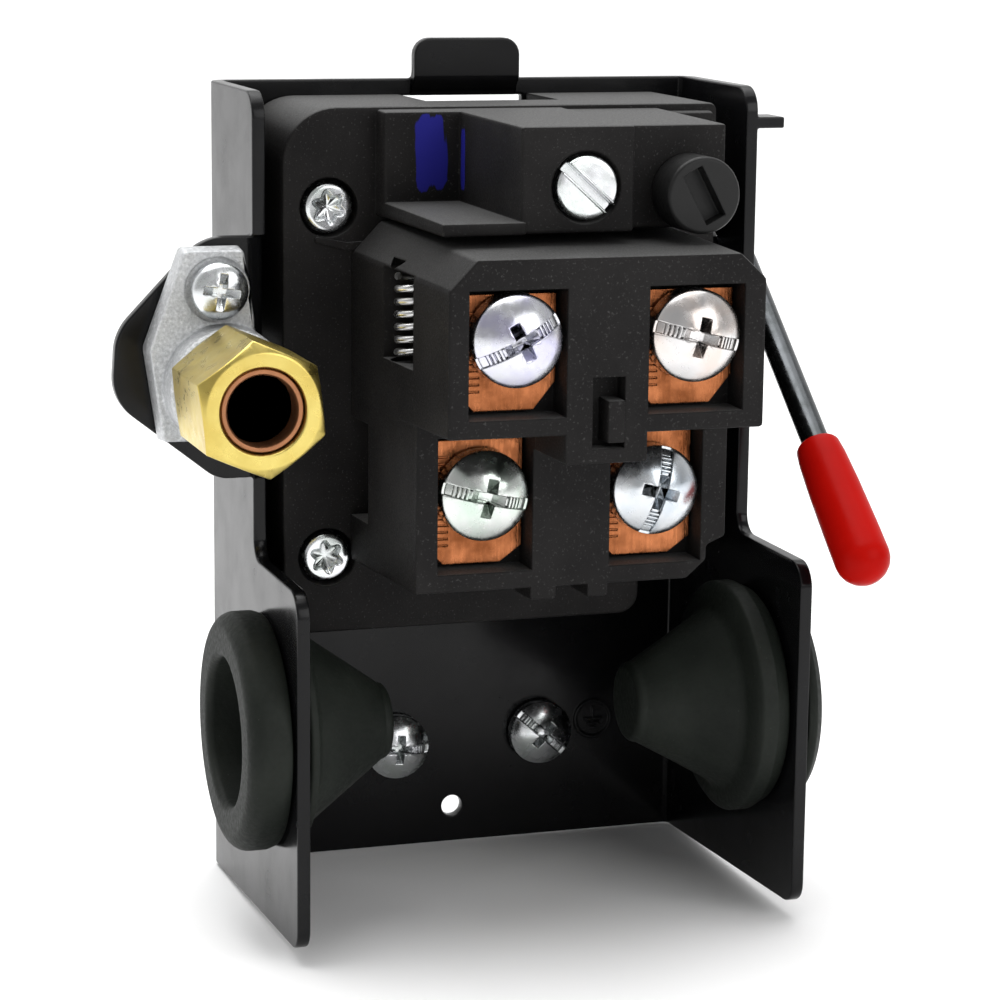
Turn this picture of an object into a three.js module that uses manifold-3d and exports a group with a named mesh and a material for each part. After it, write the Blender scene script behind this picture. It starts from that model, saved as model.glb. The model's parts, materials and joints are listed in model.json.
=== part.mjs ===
// Pressure switch of an air compressor, cover removed: bent steel frame, moulded switch housing
// with four screw terminals, diaphragm and port at the back, unloader valve on the left ear,
// manual lever on the right and a rubber conduit grommet in each lower flange.
// Millimetres. X to the right, Y to the back, Z up. The origin is the centre of the port's face.
import * as THREE from 'three';
import { mergeVertices } from 'three/addons/utils/BufferGeometryUtils.js';
import Module from 'manifold-3d';

const wasm = await Module();
wasm.setup();

// ---------------------------------------------------------------- driving dimensions
// While it is drawn, Y = 0 is the back of the frame's plate and Z = 0 is its lower edge.
const GAP = 0.3;
const SHEET = 1.5;
const DEG = Math.PI / 180;

const FRAME = {
  halfWidth: 30, height: 94.1, bend: 2.2, upperDepth: 21.84, lowerDepth: 41.2,
  shoulder: 41.9, toeRise: 1.86, corner: 3, fillet: 2.3,
};
const PORT = { z: 61.3, face: 19, bore: 5.7, boreDepth: 11.4, acrossFlats: 21, flangeThick: 6 };
const BASE = { left: -26.5, right: 25, bottom: 32.7, top: 92.3, front: -21.5, back: -1.8 };
const CAVITY = { halfWidth: 16, bottom: 43, top: 78, back: -5.3 };
const BLOCK = {
  left: -17.8, right: 18.1, bottom: 41.3, top: 79.6, back: -21.8,
  upperFront: -54, lowerFront: -43.5, upperSill: 59.5, cavityFront: -31,
};
const PIVOT = { y: -10, z: 46, pin: 1.2 };
const LEVER = {
  x: 32, y: -12, z: 74.2, rod: 1.6, capY: -35.5, endY: -50.2, endZ: 41.8,
  splay: 0.9,
};
const RANGE = { x: 0.5, z: 85.3, bore: 4.4, front: -45.5, wall: 5 };
const KNOB = { x: 13, z: 84.4, radius: 4.15, back: -42.8, front: -48 };
const VALVE = {
  x: -34.1, z: 62.3, back: -22.1, nose: -29.1, boss: 6.8, spigotEnd: -40.3,
  nutBack: -29.4, nutFront: -43.3, nutTurn: 97 * DEG,
};
const GROMMET = { y: -27.5, z: 23.6, groove: 10.7, bore: 8.3 };

const UPPER_ROW = { upper: true, face: -51.2, low: 62.7, high: 75 };
const LOWER_ROW = { upper: false, face: -40.7, low: 44.2, high: 57.9 };
const TERMINALS = [
  { name: 'motor_left', x: -9.7, z: 70.4, turn: -28, ...UPPER_ROW },
  { name: 'motor_right', x: 10.1, z: 70.3, turn: 14, ...UPPER_ROW },
  { name: 'line_left', x: -9.7, z: 52.1, turn: 13, ...LOWER_ROW },
  { name: 'line_right', x: 9.9, z: 51.8, turn: -75, ...LOWER_ROW },
];
const PLATE_HALF_WIDTH = 4.8;
const WIRE_LAND = 2.5;
const TAIL = { halfWidth: 2.3, thick: 1, back: -24.5, foot: 5 };
const BODY_SCREWS = [[-21.2, 81.2], [21.2, 81.2], [-21.4, 41.5], [21.4, 41.5]];
const GROUND_SCREWS = [{ x: -7.5, z: 13.1, turn: 5 }, { x: 11, z: 13.6, turn: 42 }];

// ---------------------------------------------------------------- materials
const paint = (color, roughness, metalness) => () => (
  new THREE.MeshStandardMaterial({ color, roughness, metalness })
);
const LOOK = {
  blackSteel: paint(0x141414, 0.3, 0.4),
  phenolic: paint(0x1e1c1b, 0.7, 0),
  blackPlastic: paint(0x151515, 0.5, 0),
  copper: paint(0xc8743c, 0.35, 1),
  brass: paint(0xc9a13b, 0.3, 1),
  bronze: paint(0x6b3d22, 0.45, 0.8),
  platedSteel: paint(0xc9cbd0, 0.25, 1),
  dieCast: paint(0xb9bcc2, 0.45, 0.9),
  rubber: paint(0x20241f, 0.75, 0),
  redVinyl: paint(0xc8141a, 0.25, 0),
  springSteel: paint(0x9a9a9c, 0.3, 1),
};

// ---------------------------------------------------------------- solids
// A closed geometry as a solid that can be joined and cut, with its faces turned outwards.
function solid(geometry) {
  const bare = geometry.clone();
  bare.deleteAttribute('normal');
  bare.deleteAttribute('uv');
  const merged = mergeVertices(bare, 1e-4);
  const triVerts = Uint32Array.from(merged.index.array);
  const vertProperties = Float32Array.from(merged.attributes.position.array);
  if (signedVolume(vertProperties, triVerts) < 0) {
    for (let i = 0; i < triVerts.length; i += 3) {
      [triVerts[i], triVerts[i + 1]] = [triVerts[i + 1], triVerts[i]];
    }
  }
  return new wasm.Manifold(new wasm.Mesh({ numProp: 3, vertProperties, triVerts }));
}

function signedVolume(vertices, triangles) {
  const corner = (index) => new THREE.Vector3().fromArray(vertices, 3 * index);
  let total = 0;
  for (let i = 0; i < triangles.length; i += 3) {
    const [a, b, c] = [0, 1, 2].map((k) => corner(triangles[i + k]));
    total += a.dot(b.cross(c));
  }
  return total;
}

// An outline of straight sides. A corner given as [x, y, radius] is rounded.
function outline(corners, arcSteps = 3) {
  const points = [];
  const count = corners.length;
  corners.forEach(([x, y, radius = 0], i) => {
    const corner = new THREE.Vector2(x, y);
    if (radius === 0) {
      points.push(corner);
      return;
    }
    const before = corners[(i + count - 1) % count];
    const after = corners[(i + 1) % count];
    const back = new THREE.Vector2(before[0], before[1]).sub(corner).normalize();
    const ahead = new THREE.Vector2(after[0], after[1]).sub(corner).normalize();
    const half = Math.acos(back.dot(ahead)) / 2;
    const middle = back.clone().add(ahead).normalize();
    const centre = corner.clone().addScaledVector(middle, radius / Math.sin(half));
    const start = corner.clone().addScaledVector(back, radius / Math.tan(half)).sub(centre);
    const end = corner.clone().addScaledVector(ahead, radius / Math.tan(half)).sub(centre);
    const sweep = Math.atan2(start.cross(end), start.dot(end));
    for (let k = 0; k <= arcSteps; k += 1) {
      points.push(start.clone().rotateAround(new THREE.Vector2(), (sweep * k) / arcSteps).add(centre));
    }
  });
  return new THREE.Shape(points);
}

function circle(radius, a = 0, b = 0, sides = 24, startAngle = 0) {
  const points = [];
  for (let k = 0; k < sides; k += 1) {
    const angle = startAngle + (2 * Math.PI * k) / sides;
    points.push(new THREE.Vector2(a + radius * Math.cos(angle), b + radius * Math.sin(angle)));
  }
  return new THREE.Shape(points);
}

const X_AXIS = new THREE.Vector3(1, 0, 0);
const Y_AXIS = new THREE.Vector3(0, 1, 0);
const Z_AXIS = new THREE.Vector3(0, 0, 1);

function sweep(shape, depth) {
  return new THREE.ExtrudeGeometry(shape, { depth, bevelEnabled: false });
}

// A (Y, Z) outline from x0 to x1.
function alongX(shape, x0, x1) {
  const basis = new THREE.Matrix4().makeBasis(Y_AXIS, Z_AXIS, X_AXIS);
  return solid(sweep(shape, x1 - x0).applyMatrix4(basis).translate(x0, 0, 0));
}

// An (X, Z) outline from y0 to y1.
function alongY(shape, y0, y1) {
  return solid(sweep(shape, y1 - y0).rotateX(Math.PI / 2).translate(0, y1, 0));
}

// An (X, Y) outline from z0 to z1.
function alongZ(shape, z0, z1) {
  return solid(sweep(shape, z1 - z0).translate(0, 0, z0));
}

function box([x0, x1], [y0, y1], [z0, z1]) {
  const geometry = new THREE.BoxGeometry(x1 - x0, y1 - y0, z1 - z0);
  return solid(geometry.translate((x0 + x1) / 2, (y0 + y1) / 2, (z0 + z1) / 2));
}

// A profile of [radius, height] points turned about an axis: 'x' or 'y', height along it.
function turned(profile, sides = 24, axis = 'y') {
  const points = profile.map(([radius, height]) => new THREE.Vector2(radius, height));
  const geometry = new THREE.LatheGeometry(points, sides);
  if (axis === 'x') {
    geometry.rotateZ(-Math.PI / 2);
  }
  return solid(geometry);
}

class Helix extends THREE.Curve {
  constructor(radius, length, turns) {
    super();
    Object.assign(this, { radius, length, turns });
  }

  getPoint(t, target = new THREE.Vector3()) {
    const angle = 2 * Math.PI * this.turns * t;
    return target.set(this.radius * Math.cos(angle), this.length * t, this.radius * Math.sin(angle));
  }
}

// A coil spring along +Y: mean radius, wire radius and length between the wire's ends.
function coil(radius, wire, length, turns, stepsPerTurn = 10) {
  return solid(new THREE.ExtrudeGeometry(circle(wire, 0, 0, 5), {
    steps: Math.round(turns * stepsPerTurn),
    extrudePath: new Helix(radius, length, turns),
  }));
}

function union(...parts) {
  return parts.reduce((whole, part) => whole.add(part));
}

function cut(body, ...tools) {
  return tools.reduce((rest, tool) => rest.subtract(tool), body);
}

const assembly = new THREE.Group();

// Adds one sub-component, drawn in place or drawn at the origin and set by position and turn.
function piece(name, manifold, look, position = [0, 0, 0], turnY = 0) {
  const mesh = manifold.getMesh();
  const geometry = new THREE.BufferGeometry();
  geometry.setAttribute('position', new THREE.BufferAttribute(mesh.vertProperties, 3));
  geometry.setIndex(new THREE.BufferAttribute(mesh.triVerts, 1));
  geometry.computeVertexNormals();
  const node = new THREE.Mesh(geometry, look());
  node.name = name;
  node.position.set(...position);
  node.rotation.y = turnY;
  assembly.add(node);
}

// ---------------------------------------------------------------- frame
function frame() {
  const { halfWidth: w, height, bend, upperDepth, lowerDepth, shoulder, toeRise } = FRAME;
  const inner = bend - SHEET;
  const channel = alongZ(outline([
    [-w, -lowerDepth], [-w + SHEET, -lowerDepth], [-w + SHEET, -SHEET, inner],
    [w - SHEET, -SHEET, inner], [w - SHEET, -lowerDepth], [w, -lowerDepth],
    [w, 0, bend], [-w, 0, bend],
  ]), 0, height);
  const side = alongX(outline([
    [0, 0], [0, height], [-upperDepth, height, FRAME.corner],
    [-upperDepth, shoulder, FRAME.fillet], [-lowerDepth, shoulder, FRAME.corner],
    [-lowerDepth, toeRise, 2.5],
  ]), -w - 1, w + 1);
  const ear = alongY(outline([
    [-w + 1, 51.2], [-34.2, 51.2, 4], [-45.9, 60.4, 5.5], [-45.4, 68, 6], [-35.6, 78.3, 6],
    [-w + 1, 78.3],
  ], 4), -upperDepth, SHEET - upperDepth);
  const coverTab = alongX(outline([
    [0, 92.4], [0, 93.2], [-1.7, 94.8], [-1.7, 98.9], [-3.2, 98.9], [-3.2, 94.1], [-1.5, 92.4],
  ]), -5.9, 7.1).intersect(alongY(outline([
    [-5.9, 90], [7.1, 90], [7.1, 98.9, 2], [-5.9, 98.9, 2],
  ]), -4, 1));
  const leverStop = box([w - 1, 33.3], [-upperDepth, -17], [89.3, 90.6]);
  const holes = [
    box([-7.2, 8], [-2, 1], [90.9, 92.1]),
    alongY(circle(13, 0, PORT.z, 24), -2, 1),
    alongY(circle(1.3, 0, 4.64, 12), -2, 1),
    alongX(circle(11, GROMMET.y, GROMMET.z, 24), -w - 1, w + 1),
    alongX(circle(2.3, LEVER.y, LEVER.z, 16), 20, w + 1),
    box([-w - 1, -20], [-17.5, -7.5], [58.8, 65.8]),
    alongY(circle(1.8, -34.8, 72.9, 14), -25, -15),
    alongY(circle(1.6, VALVE.x, VALVE.z, 14), -25, -15),
    ...BODY_SCREWS.map(([x, z]) => alongY(circle(2.1, x, z, 14), -2, 1)),
    ...GROUND_SCREWS.map(({ x, z }) => alongY(circle(2.3, x, z, 14), -2, 1)),
  ];
  const sheet = channel.intersect(side);
  piece('frame', cut(union(sheet, ear, coverTab, leverStop), ...holes), LOOK.blackSteel);
}

// ---------------------------------------------------------------- moulded housing
function baseHousing() {
  const { left, right, bottom, top, front, back } = BASE;
  const body = alongY(outline([
    [left, bottom, 3.3], [16.5, bottom, 2.4], [16.5, 38], [right, 38], [right, top],
    [left, top, 6.2],
  ], 4), front, back);
  const raised = [
    box([-15.9, -6.5], [-24.5, front + 1], [82.5, 91.9]),
    box([-15.5, -6.5], [-46, front + 1], [80.2, 82]),
    box([-6.9, 6.1], [RANGE.front, front + 1], [80.3, 91.4]),
    box([6, 17.5], [-42.5, front + 1], [80.3, 91.7]),
  ];
  const { halfWidth, bottom: low, top: high, back: deep } = CAVITY;
  const hollows = [
    box([-halfWidth, halfWidth], [front - 0.1, deep], [low, high]),
    box([-4.6, 5.6], [-17, deep], [high - 1, 89.5]),
    alongY(circle(RANGE.bore, RANGE.x, RANGE.z, 20), RANGE.front + RANGE.wall, -16),
    alongY(circle(2.3, RANGE.x, RANGE.z, 16), RANGE.front - 1, -16),
    alongY(circle(3.8, RANGE.x, RANGE.z, 24), RANGE.front - 1, RANGE.front + 1.6),
    alongY(circle(2.6, KNOB.x, KNOB.z, 16), -43, -30),
    alongY(circle(13, 0, PORT.z, 24), -3.4, back + 1),
    alongY(circle(4.6, 0, PORT.z, 20), deep - 1, back),
    alongX(circle(PIVOT.pin + 0.15, PIVOT.y, PIVOT.z, 14), -18.2, 18.2),
    alongX(circle(1.9, LEVER.y, LEVER.z, 16), 10, right + 1),
    box([left - 1, -15], [-17, -7], [59.3, 65.3]),
    ...BODY_SCREWS.map(([x, z]) => alongY(circle(3.3, x, z, 20), front - 1, -18.9)),
    ...BODY_SCREWS.map(([x, z]) => alongY(circle(2, x, z, 14), front - 1, back + 1)),
  ];
  piece('base_housing', cut(union(body, ...raised), ...hollows), LOOK.phenolic);
}

function contactBlock() {
  const { left, right, bottom, top, back, upperFront, lowerFront, upperSill, cavityFront } = BLOCK;
  const side = alongX(outline([
    [back, bottom], [back, top], [upperFront, top], [upperFront, upperSill],
    [lowerFront, upperSill], [lowerFront, bottom],
  ]), left, right);
  const face = alongY(outline([
    [left, bottom], [left, 76], [-14.8, top], [15, top], [right, 76.5], [right, 46],
    [15.8, 45], [15.8, 43], [13.4, bottom],
  ]), upperFront - 1, back + 1);
  const tongue = box([-4.4, 4.8], [upperFront, lowerFront + 1], [57, upperSill + 1]);
  const legs = [
    box([-4.6, -1.4], [lowerFront, -38], [40.2, bottom + 1]),
    box([2, 4.6], [lowerFront, -38], [40.2, bottom + 1]),
  ];
  const rib = box([0.1, 2.1], [upperFront - 0.4, -51], [59.2, 63.9]);
  const windows = TERMINALS.map(({ x, face: plate, upper, low, high }) => {
    const mouth = (upper ? upperFront : lowerFront) - 1;
    const half = PLATE_HALF_WIDTH + GAP;
    return box([x - half, x + half], [mouth, plate + 1.2], [low - GAP, high + (upper ? 1.5 : 0.6)]);
  });
  const screwHoles = TERMINALS.map(({ x, z, face: plate }) => (
    alongY(circle(2.15, x, z, 14), plate, plate + 7.2)
  ));
  const tailSlots = TERMINALS.map(({ x, face: plate, upper, low, high }) => {
    const tail = upper ? high - TAIL.thick : low;
    const half = TAIL.halfWidth + GAP;
    return box([x - half, x + half], [plate, -28], [tail - GAP, tail + TAIL.thick + GAP]);
  });
  const hollows = [
    box([-15.5, 15.8], [cavityFront, back + 1], [43.4, 77.3]),
    box([-1.4, 2.1], [upperFront - 1, -51.5], [58.7, 66.3]),
    alongZ(circle(2.4, -15, -34.5, 16), 65.5, 77),
    box([left - 1, -15.2], [-38.4, -30.6], [66, 76]),
    box([left - 1, left + 1.2], [-27.8, back + 1], [46.4, 57.7]),
  ];
  const whole = union(side.intersect(face), tongue, ...legs);
  const opened = cut(whole, ...windows, ...screwHoles, ...tailSlots, ...hollows);
  piece('contact_block', opened.add(rib), LOOK.phenolic);
}

// ---------------------------------------------------------------- terminals
function terminalPlates() {
  TERMINALS.forEach(({ name, x, z, upper, face, low, high }) => {
    const plateBack = face + 0.9;
    const tailLow = upper ? high - TAIL.thick : low;
    const footLow = upper ? high - TAIL.foot : low;
    const width = [x - TAIL.halfWidth, x + TAIL.halfWidth];
    const blade = alongY(outline([
      [x - PLATE_HALF_WIDTH, low + 1], [x - PLATE_HALF_WIDTH + 1, low], [x + 2.6, low],
      [x + PLATE_HALF_WIDTH, low + (upper ? 3 : 1)], [x + PLATE_HALF_WIDTH, high],
      [x - PLATE_HALF_WIDTH, high],
    ]), face, plateBack);
    const tail = box(width, [face + 0.1, TAIL.back], [tailLow, tailLow + TAIL.thick]);
    const foot = box(width, [TAIL.back - TAIL.thick, TAIL.back], [footLow, footLow + TAIL.foot]);
    const hole = alongY(circle(2.15, x, z, 14), face - 1, plateBack + 1);
    const wireLand = box([x - 6, x + 6], [face - 1, face + 0.1], [low - 1, low + WIRE_LAND]);
    piece(`terminal_plate_${name}`, cut(union(blade, tail, foot), hole, wireLand), LOOK.copper);
  });
}

// A cross recess and a straight slot cut into a head whose top is at y = -height.
function driveRecess(height, crossLength, slotLength, width) {
  const arm = [-crossLength / 2, crossLength / 2];
  const half = [-width / 2, width / 2];
  const depth = [-height - 1, 1.9 - height];
  return [
    box(arm, depth, half),
    box(half, depth, arm),
    box([-slotLength, slotLength], [-height - 1, 1.1 - height], half),
  ];
}

function terminalScrews() {
  TERMINALS.forEach(({ name, x, z, face, turn }) => {
    const screw = turned([
      [0, 6], [1.9, 6], [1.9, 0], [4.95, 0], [4.95, -2.1], [4, -3.4], [2.2, -4.2], [0, -4.4],
    ], 20);
    piece(`terminal_screw_${name}`, cut(screw, ...driveRecess(4.4, 4.6, 6, 1.3)), LOOK.platedSteel,
      [x, face - GAP, z], turn * DEG);
  });
}

function bodyScrews() {
  const names = ['upper_left', 'upper_right', 'lower_left', 'lower_right'];
  BODY_SCREWS.forEach(([x, z], i) => {
    const screw = turned([
      [0, 23.6], [1.3, 23.6], [1.7, 23], [1.7, 0], [2.95, 0], [2.95, -1.7], [2.5, -2.1], [0, -2.1],
    ], 16);
    const socket = alongY(circle(1.6, 0, 0, 6), -3, -0.8);
    piece(`body_screw_${names[i]}`, screw.subtract(socket), LOOK.platedSteel, [x, -18.9 - GAP, z]);
  });
}

function groundScrews() {
  GROUND_SCREWS.forEach(({ x, z, turn }, i) => {
    const screw = turned([
      [0, 8], [2, 8], [2, 0], [3.95, 0], [3.95, -1.1], [2.8, -2.4], [0, -2.9],
    ], 18);
    piece(`ground_screw_${i + 1}`, cut(screw, ...driveRecess(2.9, 3.8, 1.9, 1)), LOOK.platedSteel,
      [x, -SHEET - GAP, z], turn * DEG);
  });
}

// ---------------------------------------------------------------- range and differential
function rangeAdjuster() {
  const head = turned([
    [0, 27], [1.6, 27], [2, 26.5], [2, 0.2], [3.4, 0.2], [3.4, -1.3], [3, -1.8], [0, -1.8],
  ], 22);
  const slot = box([-4, 4], [-3, -0.7], [-0.5, 0.5]);
  const seat = [RANGE.x, RANGE.front + 1.2, RANGE.z];
  piece('range_screw', head.subtract(slot), LOOK.platedSteel, seat, 42 * DEG);
  const nut = alongY(circle(4.1, 0, 0, 6), -2, 2).subtract(alongY(circle(2.2, 0, 0, 16), -3, 3));
  piece('range_nut', nut, LOOK.platedSteel, [RANGE.x, RANGE.front + 8, RANGE.z]);
  const start = RANGE.front + 11;
  const end = PIVOT.y - 0.75 - 0.8;
  piece('range_spring', coil(3.4, 0.6, end - start, 6, 8), LOOK.springSteel, [RANGE.x, start, RANGE.z]);
}

function differentialKnob() {
  const body = turned([
    [0, 12], [2.1, 12], [2.4, 11.6], [2.4, 0.2], [KNOB.radius, 0], [KNOB.radius, -4.8],
    [KNOB.radius - 0.4, KNOB.front - KNOB.back], [0, KNOB.front - KNOB.back],
  ], 26);
  const slot = box([-2.9, 2.9], [-6, -3.6], [-0.95, 0.95]);
  piece('differential_knob', body.subtract(slot), LOOK.blackPlastic, [KNOB.x, KNOB.back, KNOB.z], 62 * DEG);
}

// ---------------------------------------------------------------- pressure side
function pressurePort() {
  const { z, face, bore, boreDepth, acrossFlats, flangeThick } = PORT;
  const start = GAP;
  const half = 25.6;
  const flange = alongY(outline([
    [-half, z - 24, 6], [half, z - 24, 6], [half, z + 24, 6], [-half, z + 24, 6],
  ], 3), start, start + flangeThick);
  const hexRadius = acrossFlats / 2 / Math.cos(30 * DEG);
  const boss = alongY(circle(hexRadius, 0, z, 6), start + 1, face);
  const hollows = [
    alongY(circle(20.3, 0, z, 26), start - 1, start + 1.4 + GAP),
    alongY(circle(13, 0, z, 24), start - 1, start + 4),
    alongY(circle(bore, 0, z, 24), face - boreDepth, face + 1),
    alongY(circle(1.8, 0, z, 12), start, face),
    ...BODY_SCREWS.map(([x, h]) => alongY(circle(1.95, x, h, 12), start - 1, start + flangeThick + 1)),
  ];
  piece('diaphragm_flange', cut(union(flange, boss), ...hollows), LOOK.dieCast);
}

function diaphragm() {
  const disc = turned([[0, 0], [19.9, 0], [19.9, 1.2], [0, 1.2]], 26);
  piece('diaphragm', disc, LOOK.rubber, [0, GAP, PORT.z]);
}

function plunger() {
  const body = turned([[0, -8.8], [4, -8.8], [4, -1.2], [12, -1.2], [12, 0], [0, 0]], 22);
  piece('plunger', body, LOOK.dieCast, [0, 0, PORT.z]);
}

// ---------------------------------------------------------------- switching mechanism
function rocker() {
  const faceY = [PIVOT.y - 0.75, PIVOT.y + 0.75];
  const barrel = alongX(circle(2.6, PIVOT.y, PIVOT.z, 18), -7, 7);
  const plate = box([-7, 7], faceY, [PIVOT.z, 76.5]);
  const neck = box([-3.8, 4.8], faceY, [76, 88]);
  const arm = box([-37.5, -6], faceY, [60, 64.6]);
  const bore = alongX(circle(PIVOT.pin + 0.18, PIVOT.y, PIVOT.z, 20), -8, 8);
  piece('rocker', union(barrel, plate, neck, arm).subtract(bore), LOOK.platedSteel);
  piece('rocker_pin', alongX(circle(PIVOT.pin, PIVOT.y, PIVOT.z, 20), -17.8, 17.8), LOOK.springSteel);
}

function contactCarrier() {
  const start = PIVOT.y - 0.75 - 0.35;
  const beam = box([-12.6, 13], [start - 4.6, start], [58, 62.4]);
  const feet = [-1, 1].map((side) => {
    const x = side < 0 ? TERMINALS[0].x : TERMINALS[1].x;
    return box([x - 1.6, x + 1.6], [-25.5, start - 4], [58, 62.4]);
  });
  piece('contact_carrier', union(beam, ...feet), LOOK.phenolic);
}

function contactBridges() {
  [['left', TERMINALS[0].x], ['right', TERMINALS[1].x]].forEach(([side, x]) => {
    const strip = box([x - 2.3, x + 2.3], [-26.7, -25.8], [46.4, 73]);
    const peg = alongY(circle(1, x, 60.2, 10), -28, -26.5);
    piece(`contact_bridge_${side}`, strip.add(peg), LOOK.copper);
    piece(`contact_spring_${side}`, coil(1.6, 0.25, 3.2, 3, 7), LOOK.springSteel, [x, -30.4, 60.2]);
  });
}

function tripSpring() {
  const spring = coil(1.75, 0.42, 9, 6, 7).rotate([90, 0, 0]);
  piece('trip_spring', spring, LOOK.springSteel, [-15, -34.5, 66.2]);
}

// ---------------------------------------------------------------- manual lever
function lever() {
  const { x, y, z, rod, capY, endY, endZ, splay } = LEVER;
  const pivotEnd = new THREE.Vector3(13.3, y, z);
  const elbow = new THREE.Vector3(x, y, z);
  const armEnd = new THREE.Vector3(x + splay, endY, endZ);
  const along = armEnd.clone().sub(elbow).normalize();
  const bendRadius = 2.4;
  const bendStart = elbow.clone().add(new THREE.Vector3(-bendRadius, 0, 0));
  const bendEnd = elbow.clone().addScaledVector(along, bendRadius);
  const tip = armEnd.clone().addScaledVector(along, -3);
  const path = new THREE.CurvePath();
  path.add(new THREE.LineCurve3(pivotEnd, bendStart));
  path.add(new THREE.QuadraticBezierCurve3(bendStart, elbow, bendEnd));
  path.add(new THREE.LineCurve3(bendEnd, tip));
  const bar = solid(new THREE.ExtrudeGeometry(circle(rod, 0, 0, 10), { steps: 20, extrudePath: path }));
  piece('lever_rod', bar, LOOK.platedSteel);

  const mouth = elbow.clone().lerp(armEnd, (y - capY) / (y - endY));
  const length = mouth.distanceTo(armEnd);
  const sleeve = turned([
    [0, length - 2.6], [rod + GAP, length - 2.6], [rod + GAP, 0], [2.5, 0], [2.75, 0.6], [3.05, 9],
    [3.15, length - 3.1], [2.7, length - 1.4], [1.5, length - 0.3], [0, length],
  ], 20);
  const lean = new THREE.Matrix4().makeRotationFromQuaternion(
    new THREE.Quaternion().setFromUnitVectors(Y_AXIS, along),
  );
  piece('lever_cap', sleeve.transform(lean.elements), LOOK.redVinyl, mouth.toArray());

  const cam = alongX(outline([
    [y - 3.2, z - 3.2, 2.6], [y + 3.2, z - 3.2, 2.6], [y + 3.2, z + 2.4, 2], [y - 3.2, z + 2.4, 2],
  ]), 13, 15.6);
  piece('lever_cam', cam.subtract(alongX(circle(rod + 0.2, y, z, 16), 12, 17)), LOOK.blackPlastic);
}

// ---------------------------------------------------------------- unloader valve
function unloaderValve() {
  const { x, z, back, nose, boss, spigotEnd, nutBack, nutFront, nutTurn } = VALVE;
  const foot = alongY(outline([
    [-30.4, 58], [-30.4, 70], [-32, 77.3, 0.8], [-38.6, 77.3, 0.8], [-42.4, 66.5, 2], [-40, 58],
  ]), back - 3.2, back);
  const barrel = alongY(circle(boss, x, z, 26), nose, back);
  const spigot = alongY(circle(5.3, x, z, 24), spigotEnd, nose + 1);
  const body = cut(
    union(foot, barrel, spigot),
    alongY(circle(4.6, x, z, 22), spigotEnd - 1, -33.6),
    alongY(circle(3.2, x, z, 18), -32.8, -25.5),
    alongY(circle(1.6, x, z, 14), spigotEnd - 1, back + 1),
    alongY(circle(1.8, -34.8, 72.9, 14), -33, back + 1),
  );
  piece('unloader_body', body, LOOK.dieCast);

  const across = 6.5 / Math.cos(30 * DEG);
  const hex = alongY(circle(across, x, z, 6, nutTurn), nutFront, nutBack);
  const chamfered = turned([
    [0, nutFront], [6.3, nutFront], [across + 0.1, nutFront + 0.8], [across + 0.1, nutBack - 0.8],
    [6.3, nutBack], [0, nutBack],
  ], 30).translate([x, 0, z]);
  const nut = cut(
    hex.intersect(chamfered),
    alongY(circle(5.6, x, z, 26), spigotEnd - GAP, nutBack + 1),
    alongY(circle(4.6, x, z, 26), nutFront - 1, spigotEnd),
  );
  piece('unloader_nut', nut, LOOK.brass);

  const lip = nutFront + 0.5;
  const sleeve = turned([[3.75, lip], [4.3, lip], [4.3, -34], [3.75, -34], [3.75, lip]], 22);
  piece('unloader_sleeve', sleeve, LOOK.bronze, [x, 0, z]);

  const pin = turned([
    [0, -27.3], [2.8, -27.3], [2.8, -26], [1.2, -26], [1.2, -11.2], [0, -11.2],
  ], 14);
  piece('unloader_pin', pin, LOOK.platedSteel, [x, 0, z]);
  piece('unloader_spring', coil(2.3, 0.3, 4, 3, 8), LOOK.springSteel, [x, -32.1, z]);

  const screw = turned([
    [0, 6.4], [1.5, 6.4], [1.5, 0], [3.15, 0], [3.15, -1.1], [2.2, -2], [0, -2.3],
  ], 16);
  piece('unloader_screw', cut(screw, ...driveRecess(2.3, 3.4, 1.7, 0.8)), LOOK.platedSteel,
    [-34.8, back - 3.2 - GAP, 72.9], 8 * DEG);
}

// ---------------------------------------------------------------- grommets
// The left grommet has its thick ring outside the flange, the right one has it inside.
function grommets() {
  const { y, z, groove, bore } = GROMMET;
  const outside = FRAME.halfWidth + GAP;
  const inside = FRAME.halfWidth - SHEET - GAP;
  const left = turned([
    [bore, 35], [12.2, 35], [12.9, 34.3], [13.7, 31.3], [13.3, outside], [groove, outside],
    [groove, inside], [12.8, inside], [12.6, 27.2], [11.2, 26.5], [4.3, 17], [3.3, 16.3],
    [0, 16.2], [0, 17.8], [2.9, 17.9], [8, 24.6], [bore, 35],
  ], 24, 'x');
  const right = turned([
    [bore, 32.3], [12.3, 32.3], [13.4, 31.4], [13.4, outside], [groove, outside],
    [groove, inside], [12.6, inside], [13.5, 26.5], [13.5, 24.6], [12.6, 23.7], [10.2, 23.6],
    [4.6, 13.6], [3.7, 12.8], [0, 12.8], [0, 14.4], [3, 14.6], [8, 24], [bore, 32.3],
  ], 24, 'x');
  piece('grommet_left', left.rotate([0, 0, 180]), LOOK.rubber, [0, y, z]);
  piece('grommet_right', right, LOOK.rubber, [0, y, z]);
}

frame();
baseHousing();
contactBlock();
terminalPlates();
terminalScrews();
bodyScrews();
groundScrews();
rangeAdjuster();
differentialKnob();
pressurePort();
diaphragm();
plunger();
rocker();
contactCarrier();
contactBridges();
tripSpring();
lever();
unloaderValve();
grommets();

assembly.position.set(0, -PORT.face, -PORT.z);
const pressureSwitch = new THREE.Group();
pressureSwitch.add(assembly);

export default pressureSwitch;
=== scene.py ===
"""Looks of the compressor pressure switch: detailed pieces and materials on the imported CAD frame."""
import json
import math

import bmesh
import bpy
from mathutils import Matrix, Vector

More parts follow.
